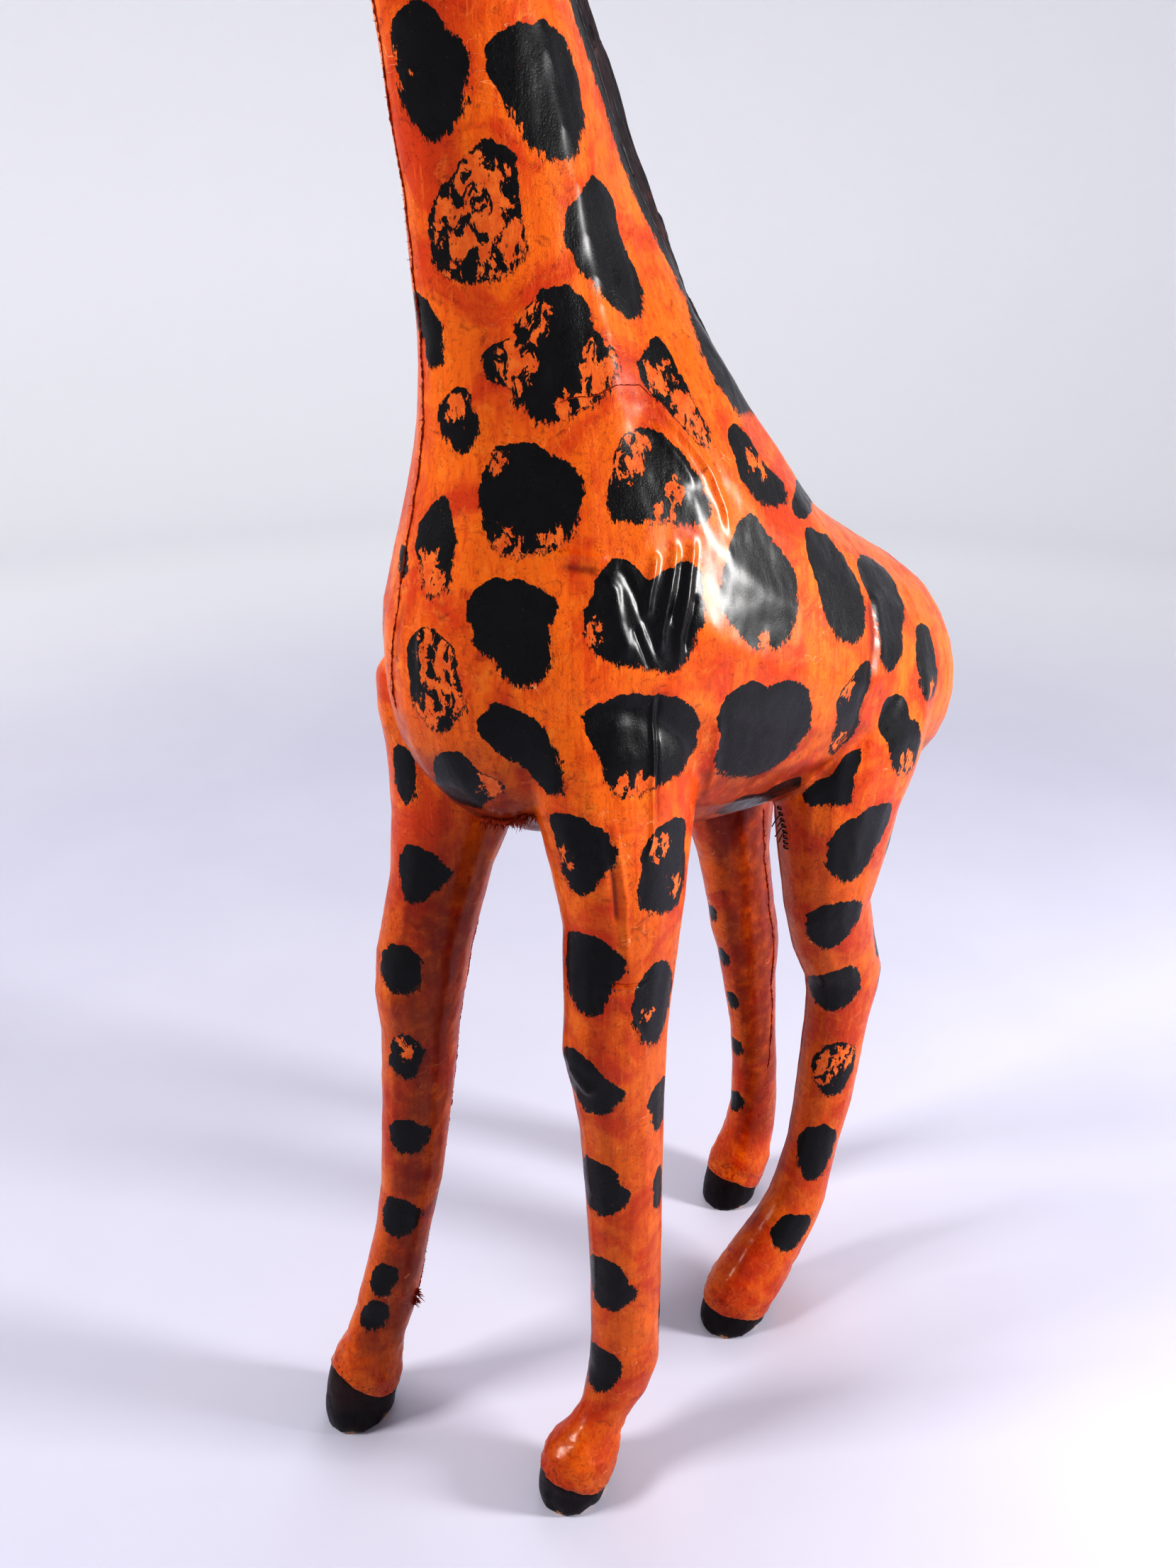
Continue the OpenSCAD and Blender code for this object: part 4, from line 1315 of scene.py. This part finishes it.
def horn_pieces(leather, material):
    """Horns wrapped in leather, a little wrinkled, with rounded black tips."""
    tips = []
    for side, name in SIDES.items():
        turn = turned((side * 10, "Y"), (-12, "X"))
        root = np.array((side * 11, -135.25, 908.3))
        heights = np.linspace(-3, 27, 46)
        radii = 4.5 - 0.9 * heights / 30 + 1.3 * bell(heights - 1.5, 2.6)
        radii += 0.16 * np.sin(heights * 1.9) + 0.1 * np.sin(heights * 4.3)
        co, faces = tube(root + heights[:, None] * turn[:, 2], radii, 28)
        co += 0.3 * waves(co, 3.2, (1, 1, 1.6), seed=side * 2.0)[:, None] * turn[:, 0]
        values = bare_leather(len(co), 0.25, 12.0, 3.0)
        horn = f"{name}_horn"
        make_piece(f"{horn}_leather", co, faces, leather, [horn], values)
        bulb = np.linspace(0, math.pi, 30)
        heights = 29.3 - 4.8 * np.cos(bulb) * np.where(bulb < math.pi / 2, 0.95, 0.92)
        radii = np.maximum(4.75 * np.sin(bulb) ** 0.8, 0.15)
        co, faces = tube(root + heights[:, None] * turn[:, 2], radii, 32)
        rel = (co - root - 29.5 * turn[:, 2]) @ turn
        lock = np.sin(np.arctan2(rel[:, 1], rel[:, 0]) * 11 + rel[:, 2] * 0.5)
        lock *= 0.12 * smoothstep(4.6, 2.5, np.abs(rel[:, 2]))
        co += (lock[:, None] * unit(rel)) @ turn.T
        tips.append((co, faces))
    co, faces = joined(tips)
    values = {"chip": np.full(len(co), -0.1), "rise": np.full(len(co), 12.0)}
    make_piece("horn_tips_painted", co, faces, material, ["horn_tips"], values)


def lid_piece(side, tree, material):
    """The rolled edge of the leather round an eye."""
    path, count = [], 64
    for n in range(count):
        a = 2 * math.pi * n / count
        high = 4.0 * math.sin(a) + 0.5 * math.cos(2 * a)
        at = (side * 26, EYE[1] + 5.3 * math.cos(a), EYE[2] + high)
        path.append(on_skin(tree, at)[0])
    path = np.array(path)
    path = 0.5 * path + 0.25 * (np.roll(path, 1, axis=0) + np.roll(path, -1, axis=0))
    co, sides = [], 10
    centre = np.array((side * EYE[0], EYE[1], EYE[2]))
    out = np.array((side, 0.0, 0.0))
    for n in range(count):
        across = path[n] - centre
        across = unit(across - out * (across @ out))
        thick = 1.0 + 0.35 * max(0.0, across[2])
        for m in range(sides):
            b = 2 * math.pi * m / sides
            co.append(path[n] + thick * (0.8 * math.cos(b) * out + 0.9 * math.sin(b) * across))
    faces = [quad[::-side] for quad in ring_faces(count, sides, closed=True)]
    values = bare_leather(len(co), 0.6, -3.0)
    return make_piece(f"{SIDES[side]}_eyelid", co, faces, material, (), values)


# ---------------------------------------------------------------- building it


def cover(name, material):
    """The one material of a CAD node that stays in view."""
    NODES[name].data.materials.clear()
    NODES[name].data.materials.append(material)


# Lines along the skin, from the top down, where two edges of leather meet or an edge is torn.
FRONT_SEAM = ((0, -146, 842), (-2, -136, 790), (-5, -130, 745), (-6, -125, 706), (-7, -122, 662),
              (-7, -119, 618), (-7, -118, 594), (-7, -121, 575), (-8, -124, 560), (-8, -129, 545),
              (-7, -134, 526), (-5, -139, 508), (-9, -140, 488), (-10, -139, 468))
BELLY_EDGE = ((4, -106, 411), (12, -107, 412), (20, -106, 414), (28, -101, 417), (36, -102, 420))
HIND_RIGHT_SEAM = ((-22, 122, 335), (-23, 131, 302), (-26, 149, 225), (-27, 157, 155),
                   (-28, 156, 112))
HIND_LEFT_SEAM = ((22, 96, 340), (24, 104, 300), (27, 126, 240), (25, 134, 180))
FRONT_RIGHT_SEAM = ((-36, -84, 330), (-40, -84, 250), (-44, -90, 170), (-46, -105, 115),
                    (-46, -128, 84))
FRONT_RIGHT_TEAR = ((-46, -130, 86), (-46, -133, 76))
NECK_LAP = ((38, -86, 597), (44, -75, 599), (48, -62, 602), (49, -50, 602), (51, -44, 596))

skin = whole_skin()
skin.values["normal"] = normals_of(skin.co, skin.tri)
skin.values["shade"] = shading(skin)
paint_spots(skin, SPOTS + unseen_spots(skin))
skin.values["hem"] = leg_value(skin.co, over_hem)
skin_tree = skin.bvh()
leather = leather_material()
hoof_paint = hoof_material()
torn = torn_material()
hair = hair_material()
thread = thread_material()
for part, surface in leather_parts(skin).items():
    hide = "torso_hide" if part == "rump" else f"{part}_hide"
    if part in LEGS:
        hoof_piece(part, surface.split(over_block(part, surface.co))[1], hoof_paint)
        surface = surface.split(over_hem(part, surface.co))[0]
        hide = f"{part}_leg_hide"
    leather_piece(f"{part}_leather", surface, leather, [hide])

mane_piece(skin_tree, mane_material())
tail_pieces(leather, hair)
thread_stitches(skin_tree, thread)
for side in (1, -1):
    ear_piece(side, leather)
    lid_piece(side, skin_tree, leather)
horn_pieces(leather, hoof_paint)

draw = np.random.default_rng(23)
for name, line, lips, threads in (
    ("front_seam_edges", FRONT_SEAM, (0.6, 0.6, 0.1), [(FRONT_SEAM, 190, 1.8)]),
    ("belly_edge_scraps", BELLY_EDGE, (2.6, 1.2), [(BELLY_EDGE, 90, 4.5, 0.3, 0.5)]),
    ("hind_right_seam_edges", HIND_RIGHT_SEAM, (0.6, 0.5, 0.1), [(HIND_RIGHT_SEAM, 110, 1.5)]),
    ("hind_left_seam_edges", HIND_LEFT_SEAM, (0.5, 0.5, 0.1), [(HIND_LEFT_SEAM, 60, 1.2)]),
    ("front_right_seam_edges", FRONT_RIGHT_SEAM, (0.5, 0.5, 0.1),
     [(FRONT_RIGHT_SEAM[-2:], 50, 1.5), (FRONT_RIGHT_TEAR, 40, 4.0, 0.45, 0.3)]),
    ("neck_lap_edge", NECK_LAP, (0.35, 0.8, 0.1, (1,)), []),
):
    scraps = torn_edge(skin_tree, line, draw, *lips)
    for path, *how in threads:
        scraps += fibres(skin_tree, path, draw, *how)
    torn_piece(name, scraps, torn)

birch = wood_material("birch_core", rgba(214, 178, 130), rgba(168, 122, 76), 5.0)
beech = wood_material("beech_dowel", rgba(226, 190, 146), rgba(186, 142, 98), 2.0)
for name in CORES:
    cover(name, birch)
for name in PINS:
    cover(name, beech)
for side, name in SIDES.items():
    cover(f"{name}_eye", glass_eye_material((side * (EYE[0] + 5.0), EYE[1] - 0.6, EYE[2] + 0.1)))

# ---------------------------------------------------------------- camera, light and backdrop

camera = bpy.data.objects.new("camera", bpy.data.cameras.new("camera"))
bpy.context.scene.collection.objects.link(camera)
bpy.context.scene.camera = camera
camera.location = tuple(CAMERA_AT * MM)
camera.rotation_euler = (math.radians(65.0), 0, math.radians(49.2))
camera.data.sensor_width = 36
camera.data.lens = 27.57
camera.data.clip_start = 0.02


def area_light(name, at, aim, size, power, colour=(1, 1, 1)):
    light = bpy.data.lights.new(name, "AREA")
    light.shape = "RECTANGLE"
    light.size, light.size_y = size
    light.energy = power
    light.color = colour
    lamp = bpy.data.objects.new(name, light)
    bpy.context.scene.collection.objects.link(lamp)
    lamp.location = at
    lamp.rotation_euler = (Vector(aim) - Vector(at)).to_track_quat("-Z", "Y").to_euler()


area_light("key", (-0.75, -1.6, 1.85), (0, 0, 0.4), (0.55, 0.55), 28, (1, 0.98, 0.95))
area_light("window", (0.98, 0.79, 0.62), (0.05, -0.02, 0.5), (0.19, 0.5), 15, (1, 0.99, 0.98))
area_light("top", (-0.9, 1.2, 2.6), (0, 0, 0.2), (1.2, 1.2), 12, (0.95, 0.97, 1.0))

world = bpy.data.worlds.new("studio")
bpy.context.scene.world = world
world.use_nodes = True
world.node_tree.nodes["Background"].inputs["Color"].default_value = (0.9, 0.92, 1.0, 1)
world.node_tree.nodes["Background"].inputs["Strength"].default_value = 0.17
bpy.context.scene.view_settings.view_transform = "Standard"
bpy.context.scene.view_settings.look = "High Contrast"


def backdrop():
    """A pale seamless sweep: a floor that curves up into a wall behind the figure, painted paler
    away from the figure where the lamps light it less.
    """
    flat, bend, wall_height = 2.4, 0.6, 3.0
    profile = [(flat, 0.0)]
    for a in np.linspace(0, math.pi / 2, 13)[1:].tolist():
        profile.append((flat + bend * math.sin(a), bend * (1 - math.cos(a))))
    profile.append((flat + bend, wall_height))
    steps = 96
    around = [2 * math.pi * n / steps for n in range(steps)]
    bm = bmesh.new()
    rings = [
        [bm.verts.new((distance * math.cos(a), distance * math.sin(a), height)) for a in around]
        for distance, height in profile
    ]
    bm.faces.new(rings[0])
    for low, high in zip(rings, rings[1:]):
        for n in range(steps):
            m = (n + 1) % steps
            bm.faces.new((low[m], low[n], high[n], high[m]))
    mesh = bpy.data.meshes.new("backdrop")
    bm.to_mesh(mesh)
    bm.free()
    mesh.shade_smooth()
    s = Shader("backdrop_cloth")
    floor_cloth = s.mix(s.noise(240, 3, 0.5), rgba(200, 199, 214), rgba(212, 211, 224))
    # Painted light: the cloth is darker near the figure and paler farther off, to even out the
    # lamps' fall-off over the sweep.
    away = s.node("ShaderNodeVectorMath", {0: s.mm}, operation="LENGTH").outputs["Value"]
    pale = s.mix(s.between(away, 900, 2200), floor_cloth, rgba(249, 249, 252))
    mesh.materials.append(s.finish(Base_Color=pale, Roughness=0.9))
    sweep = bpy.data.objects.new("backdrop", mesh)
    bpy.context.scene.collection.objects.link(sweep)


backdrop()
